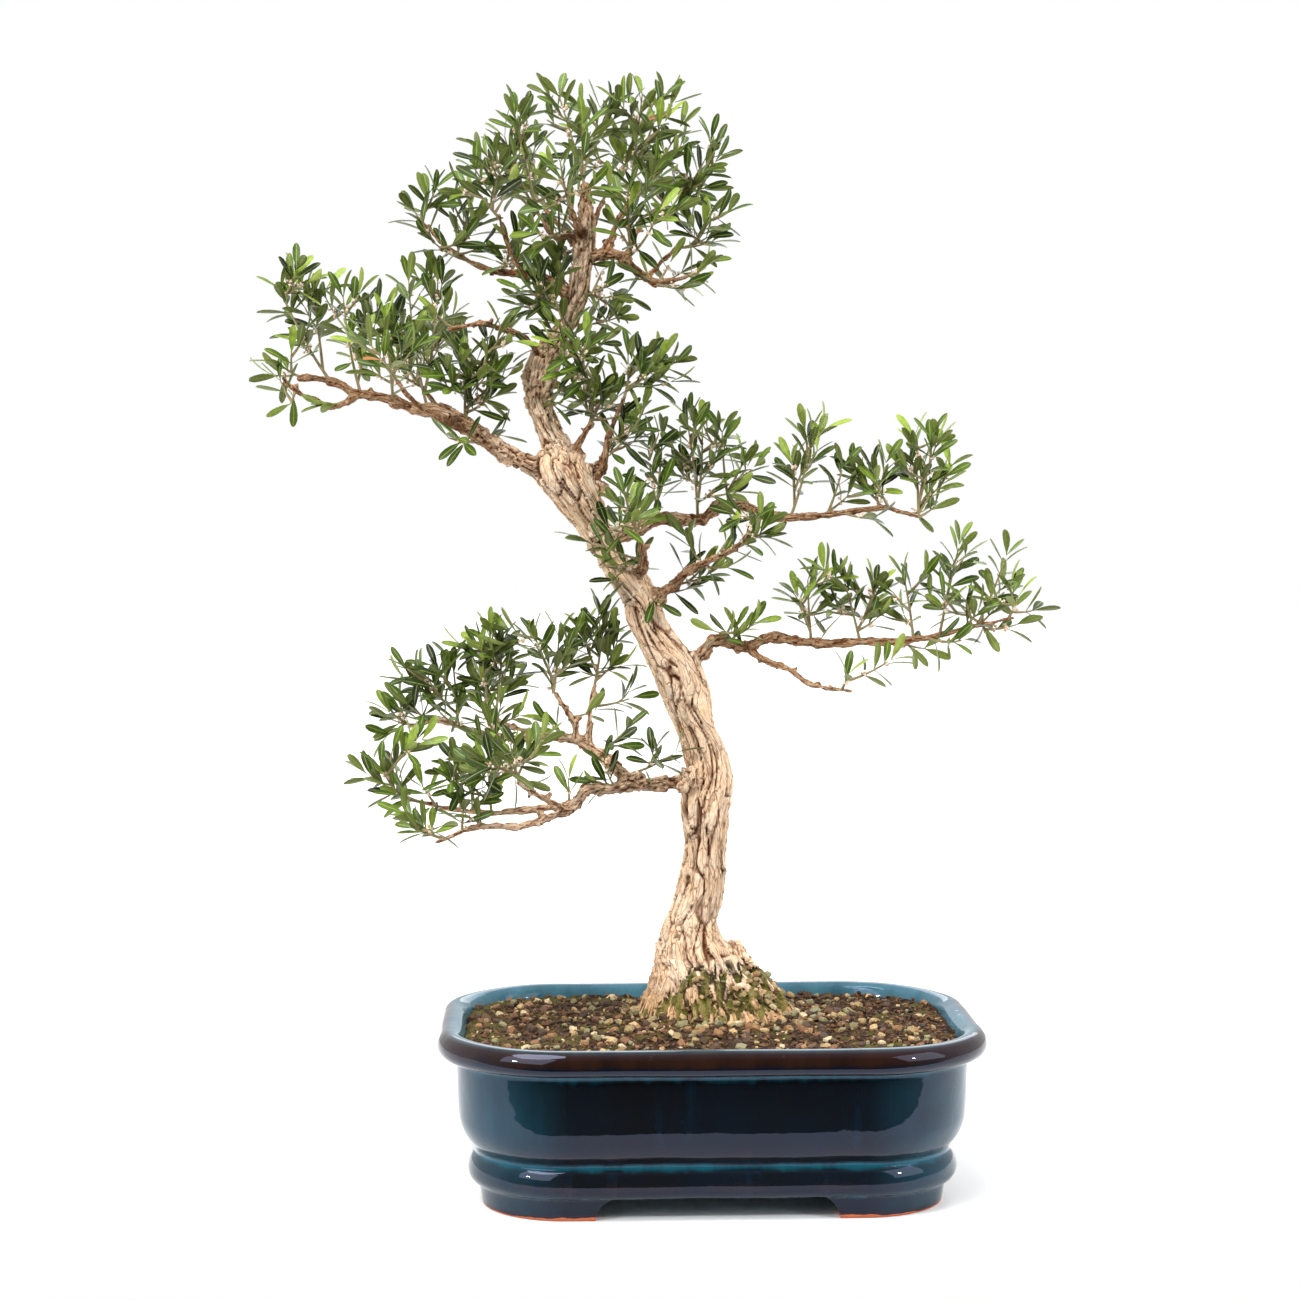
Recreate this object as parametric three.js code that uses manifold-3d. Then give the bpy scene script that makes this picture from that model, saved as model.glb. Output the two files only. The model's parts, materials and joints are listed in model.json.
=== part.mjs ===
// A boxwood bonsai in a glazed rectangular pot, in millimetres, +Z up, its front towards -Y.
import * as THREE from 'three';
import { mergeVertices } from 'three/addons/utils/BufferGeometryUtils.js';
import Module from 'manifold-3d';

const wasm = await Module();
wasm.setup();
const { Manifold, Mesh: SolidMesh } = wasm;

// The pot. Each of its levels is the rim's outline moved inwards by an inset.
const POT_WIDTH = 400;
const POT_DEPTH = 280;
const POT_CORNER = 93.5;
const POT_HEIGHT = 126;
const CORNER_STEPS = 4;
const FOOT_HEIGHT = 17;
const FOOT = [[55, FOOT_HEIGHT], [53, 0], [32.5, 0], [29.5, FOOT_HEIGHT]];
const BAND = [[23.5, 19], [22, 26], [23.5, 34], [27, 38.5]];
const BODY = [[26.5, 42], [21.5, 49], [17.3, 63], [15, 81], [14, 106.5]];
const RIM = [[3.5, 108.5], [0, 114], [1, 120.5], [6, POT_HEIGHT], [13, POT_HEIGHT], [18.5, 122], [20.5, 116]];
const INSIDE = [[27, 60], [33, 32], [39, 26]];
const FLOOR_TOP = 26;
const ARCH_SOLE = { long: 87, short: 56 };
const ARCH_TOP = { long: 74, short: 43 };
const DRAIN_RADIUS = 11;
const DRAIN_OFFSET = 92;

// The screens that keep the soil in over the drain holes
const SCREEN_SIDE = 34;
const SCREEN_THICK = 1.2;
const SCREEN_HOLE = 6;
const SCREEN_PITCH = 9.5;

// The gap that two pieces keep where they touch
const GAP = 0.3;

// The soil
const SOIL_EDGE = 116;
const SOIL_MOUND = 11;
const MOUND_REACH = 62;
const MOUND_AT = [8, 26];
const SOIL_RINGS = [21.1, 28, 50, 78];
const SOIL_LIP = 2;
const CRUMB_HEIGHT = 0.7;
const STONES = 12;
const STONE_FIELD = [172, 108];
const STONE_REACH = [0.42, 0.92];
const STONE_SIZE = [2.4, 5];
const STONE_SHAPE = [1.25, 0.9, 0.75];
const STONE_PROUD = 0.2;

// The eye that the tree was drawn from. A point (u, w) of the drawing lies on the plane y = 0, and
// a piece at another depth sits on the line from the eye through that point.
const EYE = new THREE.Vector3(-132.9, -2012.1, 518.6);
const UP = new THREE.Vector3(0, 0, 1);

// The trunk and its leader: height, left edge, right edge and depth of the middle
const TRUNK = [
  [108, -44, 58, 30], [120, -54, 70, 30], [132, -50, 64, 30], [142, -46, 49, 30], [154, -42.5, 38, 30],
  [168, -39, 26, 29], [181, -35.5, 12, 29], [195, -32, 6.5, 28], [212, -26, 10.5, 27], [232, -20.5, 13, 26],
  [252, -18, 12.5, 25], [272, -20.5, 15.5, 24], [288, -21, 16, 24], [304, -15.5, 16, 23], [321, -17.5, 12, 22],
  [338, -23, 6, 21], [354, -31, 2, 20], [370, -38, -1, 20], [386, -45, -6, 19], [402, -53, -19, 18],
  [420, -60, -31, 17], [437, -65, -38, 16], [452, -76, -46, 15], [470, -86.5, -63, 15], [488, -100, -73, 14],
  [505, -114, -77, 13], [520, -126, -83, 12], [534, -130, -91, 12], [548, -122, -102, 11], [562, -127, -110, 10],
  [578, -133, -117, 9], [596, -134, -114, 8], [610, -131, -110, 8], [622, -123, -107, 7], [636, -111, -98, 6],
  [652, -105, -92, 5], [672, -100, -87, 4], [696, -98, -85, 2], [718, -95, -85, 1], [738, -94, -88, 0],
];
const TRUNK_SIDES = 14;
const FLARE_HEIGHT = 175;
const FLARE_DEPTH = 0.78;
const BARK_RIDGE = 0.05;
const ROOT_RIDGE = 0.5;
const ROOT_LOBES = 6;
const TIP_ROUND = 3;
const FOOT_ROUND = 6;

// The limbs: parent, points of the drawing, depth at the end, width at the start and at the end
const LIMBS = {
  left_branch: ['trunk', [[-112, 522], [-133, 534], [-160, 551], [-184, 567], [-209, 574], [-235, 581], [-258, 586],
    [-278, 596], [-301, 597]], -8, 14, 4],
  left_loop: ['left_branch', [[-258, 584], [-273, 576], [-290, 582], [-302, 587], [-311, 597]], -16, 5, 2.6],
  left_front_limb: ['left_branch', [[-180, 562], [-196, 566], [-216, 580], [-228, 596]], -46, 6, 3],
  left_back_limb: ['left_branch', [[-160, 548], [-176, 556], [-196, 572], [-210, 590]], 48, 6, 3],
  low_shelf: ['trunk', [[-122, 612], [-133, 624], [-154, 634], [-172, 636], [-190, 632]], -30, 6, 3],
  mid_shelf: ['trunk', [[-98, 652], [-116, 669], [-135, 672], [-164, 677], [-190, 690], [-206, 708]], 16, 7, 2.6],
  shelf_twig: ['mid_shelf', [[-134, 668], [-141, 682], [-150, 702], [-154, 716]], -26, 4, 2.4],
  crown_left: ['trunk', [[-92, 690], [-101, 699], [-114, 700], [-122, 712]], -8, 6, 3],
  crown_right: ['trunk', [[-94, 682], [-80, 687], [-62, 684], [-50, 672], [-38, 665]], -14, 9, 4],
  crown_tip: ['crown_right', [[-47, 670], [-36, 681], [-24, 693]], 4, 4.5, 2.6],
  crown_twig: ['crown_right', [[-42, 668], [-30, 668], [-15, 673]], -22, 4, 2.4],
  crown_inner: ['crown_right', [[-80, 684], [-72, 698], [-66, 712], [-59, 727]], 4, 6, 3],
  crown_side: ['crown_right', [[-64, 680], [-56, 698], [-50, 713]], 2, 5, 2.6],
  crown_front: ['trunk', [[-92, 698], [-97, 710], [-102, 724]], -48, 7, 3],
  crown_back: ['trunk', [[-91, 700], [-84, 712], [-78, 726]], 52, 7, 3],
  crown_back_left: ['trunk', [[-93, 690], [-106, 704], [-120, 720]], 46, 6, 3],
  leader_stub: ['trunk', [[-108, 534], [-97, 547], [-86, 565]], 4, 8, 3.4],
  leader_shoot: ['trunk', [[-94, 518], [-78, 530], [-75, 552], [-62, 583]], -6, 7, 2.8],
  upper_right: ['trunk', [[-88, 476], [-60, 483], [-37, 494], [-7, 493], [9, 504], [27, 503], [47, 496], [76, 496],
    [109, 500], [134, 502], [155, 495]], 44, 11, 3],
  trunk_stem: ['trunk', [[-58, 446], [-48, 462], [-50, 478]], -26, 8, 4],
  small_right: ['trunk', [[-52, 436], [-32, 441], [-17, 454], [0, 463], [18, 472], [30, 483]], -30, 9, 2.6],
  lower_right: ['trunk', [[-26, 388], [-6, 393], [5, 405], [28, 400], [48, 407], [71, 403], [100, 403], [132, 404],
    [165, 407], [197, 414], [226, 421]], -8, 10, 2.2],
  under_branch: ['lower_right', [[28, 400], [41, 391], [58, 384], [73, 374], [90, 368], [106, 367]], -34, 5, 2.4],
  lower_left: ['trunk', [[2, 298], [-23, 299], [-45, 298], [-64, 299]], 14, 12, 9],
  low_arm: ['lower_left', [[-58, 299], [-72, 295], [-91, 294], [-99, 282], [-119, 274], [-138, 268], [-163, 268],
    [-182, 264], [-201, 256]], -34, 9, 2.8],
  low_shelf_left: ['low_arm', [[-96, 285], [-110, 282], [-147, 278], [-181, 279], [-212, 285]], 6, 6, 2.6],
  low_front_limb: ['low_arm', [[-104, 280], [-122, 288], [-142, 300]], -62, 5, 2.8],
  high_arm: ['lower_left', [[-58, 299], [-72, 313], [-89, 327], [-110, 334], [-141, 332], [-166, 336], [-198, 346],
    [-222, 341]], 44, 9, 2.6],
  high_stem: ['high_arm', [[-88, 324], [-88, 345], [-85, 372]], 34, 5.5, 2.8],
  high_twig: ['high_arm', [[-97, 330], [-102, 349], [-115, 366]], 22, 5, 2.6],
  high_back_limb: ['high_arm', [[-120, 334], [-142, 340], [-165, 352]], 84, 5, 2.8],
};
const RING_STEP = 20;
const KNOBS = 0.3;
const STOUT = 8.5;

// The sprays: parent limb, the place on it that they grow from, and the tips of their shoots as
// points of the drawing with a depth
const SPRAYS = {
  crown: [
    ['trunk', [-91, 736], [[-114, 817, -6], [-92, 797, -32], [-76, 808, 24]]],
    ['crown_inner', [-59, 726], [[-47, 819, 12], [-28, 817, -14]]],
    ['crown_inner', [-67, 709], [[-12, 794, 4], [-30, 764, -34]]],
    ['crown_side', [-50, 712], [[18, 765, -8], [11, 740, 24]]],
    ['crown_tip', [-25, 692], [[18, 699, 8], [10, 724, -22]]],
    ['crown_twig', [-16, 673], [[10, 684, -14]]],
    ['crown_left', [-121, 710], [[-156, 786, 14], [-146, 802, -10], [-178, 778, -2]]],
    ['shelf_twig', [-153, 714], [[-180, 746, -30], [-152, 758, -50]]],
    ['mid_shelf', [-204, 705], [[-226, 729, 10], [-201, 745, 30]]],
    ['mid_shelf', [-178, 684], [[-214, 702, -12], [-176, 718, 46]]],
    ['crown_front', [-102, 723], [[-112, 768, -84], [-72, 740, -88], [-132, 712, -80]]],
    ['crown_right', [-62, 684], [[-30, 728, -72], [-60, 752, -64]]],
    ['crown_back', [-78, 725], [[-60, 786, 64], [-60, 742, 94], [-16, 736, 60]]],
    ['crown_back_left', [-119, 719], [[-134, 768, 56], [-138, 728, 86]]],
    ['trunk', [-98, 655], [[-58, 672, -24], [-62, 644, 26]]],
  ],
  left: [
    ['left_branch', [-296, 597], [[-329, 617, -4], [-305, 628, -30]]],
    ['left_branch', [-276, 595], [[-320, 675, 2], [-290, 668, 26]]],
    ['left_branch', [-254, 585], [[-270, 672, -10], [-250, 662, 34]]],
    ['left_branch', [-230, 580], [[-238, 656, -34], [-222, 642, 36]]],
    ['left_branch', [-206, 573], [[-222, 684, 0], [-196, 690, 6]]],
    ['left_branch', [-178, 563], [[-176, 642, -22], [-142, 612, 6]]],
    ['left_front_limb', [-228, 595], [[-248, 626, -74], [-208, 628, -80]]],
    ['left_back_limb', [-210, 589], [[-236, 626, 66], [-190, 628, 70]]],
    ['left_loop', [-303, 588], [[-308, 572, -30]]],
    ['low_shelf', [-188, 632], [[-210, 652, -44]]],
  ],
  leader: [
    ['leader_stub', [-87, 563], [[-84, 607, 4], [-68, 598, 28]]],
    ['leader_shoot', [-63, 582], [[-54, 626, 14], [-26, 616, -14]]],
    ['leader_shoot', [-75, 552], [[-42, 566, -24]]],
  ],
  trunk: [
    ['trunk_stem', [-50, 476], [[-66, 526, -32], [-88, 490, -48]]],
  ],
  middle: [
    ['upper_right', [-38, 493], [[-47, 552, -14], [-33, 570, 24]]],
    ['upper_right', [-10, 493], [[-18, 582, -8], [-4, 576, 38]]],
    ['upper_right', [14, 504], [[8, 574, 10], [34, 552, 30]]],
  ],
  upper_right: [
    ['upper_right', [61, 496], [[80, 571, 24], [60, 550, 44]]],
    ['upper_right', [88, 497], [[104, 548, 26]]],
    ['upper_right', [124, 502], [[118, 546, 54], [135, 551, 30]]],
    ['upper_right', [154, 496], [[150, 571, 50], [173, 567, 26], [184, 530, 54]]],
  ],
  small_right: [
    ['small_right', [29, 482], [[56, 480, -38], [40, 500, -22]]],
  ],
  lower_right: [
    ['lower_right', [18, 402], [[20, 426, -4], [-10, 412, 8]]],
    ['lower_right', [76, 403], [[72, 466, 0], [58, 452, 24]]],
    ['lower_right', [110, 403], [[97, 461, -14], [128, 459, 14]]],
    ['lower_right', [152, 406], [[142, 467, -10], [138, 432, 22]]],
    ['lower_right', [172, 408], [[189, 492, -4], [176, 446, -36]]],
    ['lower_right', [200, 414], [[227, 483, -8], [206, 398, 2]]],
    ['lower_right', [224, 420], [[236, 451, -18], [255, 427, 2]]],
    ['under_branch', [98, 368], [[106, 389, -46]]],
  ],
  lower_left: [
    ['high_stem', [-85, 371], [[-75, 436, 38], [-97, 427, 50], [-50, 390, 34]]],
    ['high_twig', [-114, 365], [[-109, 424, 30], [-134, 422, 12]]],
    ['high_arm', [-158, 336], [[-150, 421, 40], [-170, 412, 20]]],
    ['high_arm', [-186, 342], [[-190, 406, 52], [-222, 392, 36]]],
    ['high_arm', [-220, 341], [[-249, 361, 44], [-248, 328, 26]]],
    ['low_shelf_left', [-205, 283], [[-259, 309, 8], [-240, 294, -14]]],
    ['low_arm', [-194, 259], [[-230, 272, -36], [-206, 270, -60]]],
    ['low_front_limb', [-141, 299], [[-150, 344, -70], [-184, 322, -66]]],
    ['high_back_limb', [-164, 351], [[-172, 396, 98], [-200, 368, 88]]],
    ['low_shelf_left', [-160, 278], [[-164, 328, -18], [-196, 318, -4]]],
  ],
};
const LEAF_LENGTH = [21, 27];
const LEAF_WIDTH = 6.2;
const LEAF_THICK = 0.62;
const LEAF_STATIONS = [[0.6, 0.5, 0.03], [1, 0.18, -0.02]];
const LAST_PAIR = 2.4;
const LEAF_REACH = 17;
const SHORTEST_SHOOT = 14;
const SHOOT_BEND = 0.1;
const PAIR_SPACING = 35;
const PAIR_STEP = 0.55 * PAIR_SPACING;
const TIP_SPREAD = 0.62;
const LOWER_SPREAD = 0.8;
const SPREAD_RANGE = 0.25;
const LEAF_PROBES = [0.35, 0.6, 0.8, 1];
const PAIR_TRIES = 6;
const TWIG_FLAT = 0.8;
const FORK = 6;
const BLADE_ROOM = 6.4;
const OWN_ROOM = 0.5;
const TWIG_ROOM = 5;
const WOOD_ROOM = 4.2;

// Seeded draws: the same name always gives the same row of numbers between 0 and 1
function draws(name) {
  let state = 2166136261;
  for (const letter of name) state = Math.imul(state ^ letter.charCodeAt(0), 16777619) >>> 0;
  return () => {
    state = (state + 0x6d2b79f5) >>> 0;
    let mixed = Math.imul(state ^ (state >>> 15), state | 1);
    mixed ^= mixed + Math.imul(mixed ^ (mixed >>> 7), mixed | 61);
    return ((mixed ^ (mixed >>> 14)) >>> 0) / 4294967296;
  };
}

// A point of the drawing, moved along its line of sight to a depth
function placed(u, w, depth) {
  return new THREE.Vector3(u, 0, w).sub(EYE).multiplyScalar((depth - EYE.y) / -EYE.y).add(EYE);
}

// The point of the drawing that a point in space covers
function drawn(point) {
  const on = point.clone().sub(EYE).multiplyScalar(-EYE.y / (point.y - EYE.y)).add(EYE);
  return [on.x, on.z];
}

function solidFrom(vertices, triangles) {
  const flat = new Float32Array(vertices.flatMap((v) => [v.x, v.y, v.z]));
  return new Manifold(new SolidMesh({ numProp: 3, vertProperties: flat, triVerts: new Uint32Array(triangles) }));
}

// A solid from a three.js geometry
function solidOf(geometry) {
  geometry.deleteAttribute('normal');
  geometry.deleteAttribute('uv');
  const merged = mergeVertices(geometry, 1e-4);
  const triVerts = new Uint32Array(merged.index.array);
  return new Manifold(new SolidMesh({ numProp: 3, vertProperties: merged.attributes.position.array, triVerts }));
}

// A closed skin over rings of points, each ring counter-clockwise about the way that the rings run
function loft(first, rings, last) {
  const count = rings[0].length;
  const vertices = [first, ...rings.flat(), last];
  const end = vertices.length - 1;
  const triangles = [];
  for (let i = 0; i < count; i += 1) {
    const next = (i + 1) % count;
    triangles.push(0, 1 + next, 1 + i);
    for (let ring = 0; ring < rings.length - 1; ring += 1) {
      const low = 1 + ring * count;
      const high = low + count;
      triangles.push(low + i, low + next, high + next, low + i, high + next, high + i);
    }
    triangles.push(end, end - count + i, end - count + next);
  }
  return solidFrom(vertices, triangles);
}

// The pot's outline at an inset and a height
function potRing(inset, height) {
  const corner = POT_CORNER - inset;
  const middle = [POT_WIDTH / 2 - POT_CORNER, POT_DEPTH / 2 - POT_CORNER];
  const ring = [];
  [[1, 1], [-1, 1], [-1, -1], [1, -1]].forEach(([sideX, sideY], quarter) => {
    for (let step = 0; step <= CORNER_STEPS; step += 1) {
      const angle = (quarter + step / CORNER_STEPS) * Math.PI / 2;
      const x = sideX * middle[0] + corner * Math.cos(angle);
      const y = sideY * middle[1] + corner * Math.sin(angle);
      ring.push(new THREE.Vector3(x, y, height));
    }
  });
  return ring;
}

// The gap between two feet: a flat arch, cut right through along Y
function archCut(sole, top, length) {
  const shape = new THREE.Shape();
  shape.moveTo(-sole, -5);
  shape.lineTo(sole, -5);
  shape.lineTo(sole, 0);
  shape.quadraticCurveTo(sole - 2, FOOT_HEIGHT * 0.75, top, FOOT_HEIGHT);
  shape.lineTo(-top, FOOT_HEIGHT);
  shape.quadraticCurveTo(-sole + 2, FOOT_HEIGHT * 0.75, -sole, 0);
  const geometry = new THREE.ExtrudeGeometry(shape, { depth: length, bevelEnabled: false, curveSegments: 4 });
  geometry.translate(0, 0, -length / 2);
  geometry.rotateX(Math.PI / 2);
  return solidOf(geometry);
}

function drainHole(side) {
  const geometry = new THREE.CylinderGeometry(DRAIN_RADIUS, DRAIN_RADIUS, 40, 16);
  geometry.rotateX(Math.PI / 2);
  geometry.translate(side * DRAIN_OFFSET, 0, FOOT_HEIGHT);
  return solidOf(geometry);
}

function potSolid() {
  const levels = [...FOOT, ...BAND, ...BODY, ...RIM, ...INSIDE];
  const rings = levels.map(([inset, height]) => potRing(inset, height));
  const under = new THREE.Vector3(0, 0, FOOT_HEIGHT);
  const shell = loft(under, rings, new THREE.Vector3(0, 0, FLOOR_TOP));
  const sideArch = archCut(ARCH_SOLE.short, ARCH_TOP.short, POT_WIDTH).rotate([0, 0, 90]);
  const cuts = [archCut(ARCH_SOLE.long, ARCH_TOP.long, POT_DEPTH), sideArch, drainHole(-1), drainHole(1)];
  return shell.subtract(Manifold.union(cuts));
}

// A block with its middle at (x, y, z)
function block(width, depth, height, x, y, z) {
  const geometry = new THREE.BoxGeometry(width, depth, height);
  geometry.translate(x, y, z);
  return solidOf(geometry);
}

// A square of plastic net that lies on the pot's floor over a drain hole
function screenSolid(side) {
  const middle = FLOOR_TOP + GAP + SCREEN_THICK / 2;
  const holes = [];
  for (const column of [-1, 0, 1]) {
    for (const row of [-1, 0, 1]) {
      const x = side * DRAIN_OFFSET + column * SCREEN_PITCH;
      holes.push(block(SCREEN_HOLE, SCREEN_HOLE, 4 * SCREEN_THICK, x, row * SCREEN_PITCH, middle));
    }
  }
  const sheet = block(SCREEN_SIDE, SCREEN_SIDE, SCREEN_THICK, side * DRAIN_OFFSET, 0, middle);
  return sheet.subtract(Manifold.union(holes));
}

function screenPocket(side) {
  const size = SCREEN_SIDE + 2 * GAP;
  return block(size, size, 2 * (SCREEN_THICK + 2 * GAP), side * DRAIN_OFFSET, 0, FLOOR_TOP);
}

// The lie of the soil: level at the pot's wall and mounded up round the trunk
function soilHeight(x, y) {
  const away = Math.hypot(x - MOUND_AT[0], (y - MOUND_AT[1]) * 1.3);
  const crumbs = Math.sin(x * 0.31 + y * 0.17) + Math.sin(y * 0.37 - x * 0.11);
  return SOIL_EDGE + SOIL_MOUND * Math.exp(-((away / MOUND_REACH) ** 2)) + CRUMB_HEIGHT * crumbs;
}

function stoneSolid(draw) {
  const angle = draw() * 2 * Math.PI;
  const reach = THREE.MathUtils.lerp(...STONE_REACH, Math.sqrt(draw()));
  const x = reach * STONE_FIELD[0] * Math.cos(angle);
  const y = reach * STONE_FIELD[1] * Math.sin(angle);
  const size = THREE.MathUtils.lerp(...STONE_SIZE, draw());
  const geometry = new THREE.IcosahedronGeometry(size, 0);
  geometry.scale(...STONE_SHAPE);
  geometry.rotateZ(draw() * 2 * Math.PI);
  geometry.translate(x, y, soilHeight(x, y) + STONE_PROUD * size);
  return solidOf(geometry);
}

function soilSolid(woodWithRoom) {
  const rings = [...INSIDE].reverse().map(([inset, height]) => potRing(inset + GAP, height + GAP));
  SOIL_RINGS.forEach((inset, i) => {
    const ring = potRing(inset, 0);
    ring.forEach((point) => point.setZ(i === 0 ? SOIL_EDGE - SOIL_LIP : soilHeight(point.x, point.y)));
    rings.push(ring);
  });
  const under = new THREE.Vector3(0, 0, FLOOR_TOP + GAP);
  const bed = loft(under, rings, new THREE.Vector3(0, 0, soilHeight(0, 0)));
  const draw = draws('stones');
  const stones = Array.from({ length: STONES }, () => stoneSolid(draw));
  const pockets = Manifold.union([screenPocket(-1), screenPocket(1), woodWithRoom]);
  return largest(Manifold.union([bed, ...stones]).subtract(pockets));
}

// The piece of a solid that holds together and is the largest
function largest(solid) {
  return solid.decompose().sort((a, b) => b.volume() - a.volume())[0];
}

// Height, half width, half depth and middle of each ring of the trunk
function trunkRings() {
  return TRUNK.map(([w, left, right, depth], i) => {
    const [before, after] = [TRUNK[Math.max(i - 1, 0)], TRUNK[Math.min(i + 1, TRUNK.length - 1)]];
    const drift = (after[1] + after[2] - before[1] - before[2]) / 2;
    const lean = Math.atan2(drift, after[0] - before[0]);
    const edges = [placed(left, w, depth), placed(right, w, depth)];
    const middle = edges[0].clone().add(edges[1]).multiplyScalar(0.5);
    const half = (edges[1].x - edges[0].x) / 2;
    const flat = w < FLARE_HEIGHT ? FLARE_DEPTH : Math.cos(lean);
    return { middle, half, deep: half * flat };
  });
}

// The ridges of the bark and, at the foot, of the roots, as a share of the radius
function bark(angle, height) {
  const ridge = Math.cos(5 * angle + height * 0.021) + 0.7 * Math.cos(7 * angle - height * 0.034 + 1);
  const foot = Math.max(0, (FLARE_HEIGHT - height) / FLARE_HEIGHT);
  return 1 + BARK_RIDGE * ridge + foot * ROOT_RIDGE * Math.cos(ROOT_LOBES * angle + 0.6);
}

function trunkSolid(room) {
  const rings = trunkRings().map(({ middle, half, deep }) => {
    const ring = [];
    for (let i = 0; i < TRUNK_SIDES; i += 1) {
      const angle = i / TRUNK_SIDES * 2 * Math.PI;
      const grow = bark(angle, middle.z);
      const x = middle.x + (half * grow + room) * Math.cos(angle);
      const y = middle.y + (deep * grow + room) * Math.sin(angle);
      ring.push(new THREE.Vector3(x, y, middle.z));
    }
    return ring;
  });
  const low = trunkRings()[0].middle.clone().addScaledVector(UP, -FOOT_ROUND - room);
  const top = trunkRings().at(-1).middle.clone().addScaledVector(UP, TIP_ROUND + room);
  return loft(low, rings, top);
}

// Middle lines of all the wood, with the radius at each point, for what grows on it
const middles = {
  trunk: trunkRings().map(({ middle, deep }) => ({ point: middle, radius: deep })),
};

// The point of a limb's middle line that the drawing shows nearest to (u, w)
function nearest(parent, u, w) {
  const away = ({ point }) => Math.hypot(drawn(point)[0] - u, drawn(point)[1] - w);
  return middles[parent].reduce((best, one) => (away(one) < away(best) ? one : best));
}

// The way that a row of points runs at each point, with two directions across it that don't twist
function frames(points, firstAcross) {
  let across = firstAcross;
  return points.map((point, i) => {
    const before = points[Math.max(i - 1, 0)];
    const after = points[Math.min(i + 1, points.length - 1)];
    const along = after.clone().sub(before).normalize();
    across = across.clone().addScaledVector(along, -across.dot(along)).normalize();
    return { along, across, third: along.clone().cross(across) };
  });
}

// A tube round a row of points. With four sides, its flats face the two directions across it.
function tube(points, radii, sides, firstAcross, room = 0) {
  const rings = frames(points, firstAcross).map(({ across, third }, i) => {
    const reach = radii[i] + room;
    return Array.from({ length: sides }, (_, side) => {
      const angle = (side + 0.5) / sides * 2 * Math.PI;
      return points[i].clone().addScaledVector(across, reach * Math.cos(angle))
        .addScaledVector(third, reach * Math.sin(angle));
    });
  });
  const outward = points.at(-1).clone().sub(points.at(-2)).normalize();
  const last = points.at(-1).clone().addScaledVector(outward, radii.at(-1) * 0.7 + room);
  return loft(points[0], rings, last);
}

// The middle line of a limb, from the parent's middle out to its end
function limbLine(name) {
  const [parent, path, endDepth, startWidth, endWidth] = LIMBS[name];
  const start = nearest(parent, ...path[0]).point.y;
  const points = path.map(([u, w], i) => placed(u, w, start + (endDepth - start) * i / (path.length - 1)));
  const curve = new THREE.CatmullRomCurve3(points, false, 'centripetal');
  const steps = Math.max(3, Math.round(curve.getLength() / RING_STEP));
  const draw = draws(name);
  return curve.getSpacedPoints(steps).map((point, i) => {
    const width = startWidth + (endWidth - startWidth) * i / steps;
    return { point, radius: width / 2 * (1 + KNOBS * (draw() - 0.35)) };
  });
}

function limbSolid(name, room) {
  const line = middles[name];
  const sides = LIMBS[name][3] > STOUT ? 6 : 4;
  const [points, radii] = [line.map(({ point }) => point), line.map(({ radius }) => radius)];
  return tube(points, radii, sides, new THREE.Vector3(0, 1, 0.3), room);
}

function woodSolid(room) {
  return Manifold.union([trunkSolid(room), ...Object.keys(LIMBS).map((name) => limbSolid(name, room))]);
}

// What is already in place, as points with the node that they belong to and the room they need
const taken = [];

function isFree(points, node) {
  return points.every((point) => taken.every((one) => {
    const room = one.node === node ? one.room * OWN_ROOM : one.room;
    return point.distanceTo(one.point) > room;
  }));
}

// The line of a shoot, which leaves its limb outwards and bends upwards to its tip
function shootLine(from, [u, w, depth], draw) {
  const reach = placed(u, w, depth);
  const length = Math.max(from.distanceTo(reach) - LEAF_REACH, SHORTEST_SHOOT);
  const tip = from.clone().add(reach.sub(from).setLength(length));
  const bend = from.clone().lerp(tip, 0.5).addScaledVector(UP, -SHOOT_BEND * length);
  bend.x += (draw() - 0.5) * SHOOT_BEND * length;
  return new THREE.QuadraticBezierCurve3(from, bend, tip);
}

// The direction square to the plane that a shoot bends in
function planeOf(line) {
  const across = line.v1.clone().sub(line.v0).cross(line.v2.clone().sub(line.v1));
  return across.lengthSq() > 1 ? across.normalize() : new THREE.Vector3(0, 1, 0);
}

// The pairs of leaves of a shoot, from its foot to its tip, each crosswise to the next. A pair that
// would meet another spray's leaves is turned or made shorter, or else left out.
function leafPairs(line, node, draw) {
  const reach = line.getLength();
  const count = Math.max(1, Math.round(reach / PAIR_SPACING));
  const plane = planeOf(line);
  const pairs = [];
  let cross = draw() < 0.5;
  for (let pair = 0; pair < count; pair += 1) {
    const share = 1 - (LAST_PAIR + pair * PAIR_STEP) / reach;
    const [root, along] = [line.getPointAt(share), line.getTangentAt(share)];
    for (let attempt = 0; attempt < PAIR_TRIES; attempt += 1) {
      const side = cross ? plane.clone() : along.clone().cross(plane);
      const spread = (pair === 0 ? TIP_SPREAD : LOWER_SPREAD) + SPREAD_RANGE * draw();
      const length = THREE.MathUtils.lerp(...LEAF_LENGTH, draw());
      const leaves = [-1, 1].flatMap((way) => LEAF_PROBES.map((reached) => root.clone()
        .addScaledVector(along, Math.cos(spread) * reached * length)
        .addScaledVector(side, way * Math.sin(spread) * reached * length)));
      if (isFree(leaves, node)) {
        taken.push(...leaves.map((point) => ({ point, node, room: BLADE_ROOM })));
        pairs.unshift({ root, along, cross, spread, length });
        break;
      }
      cross = !cross;
    }
    cross = !cross;
  }
  return pairs;
}

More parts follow.
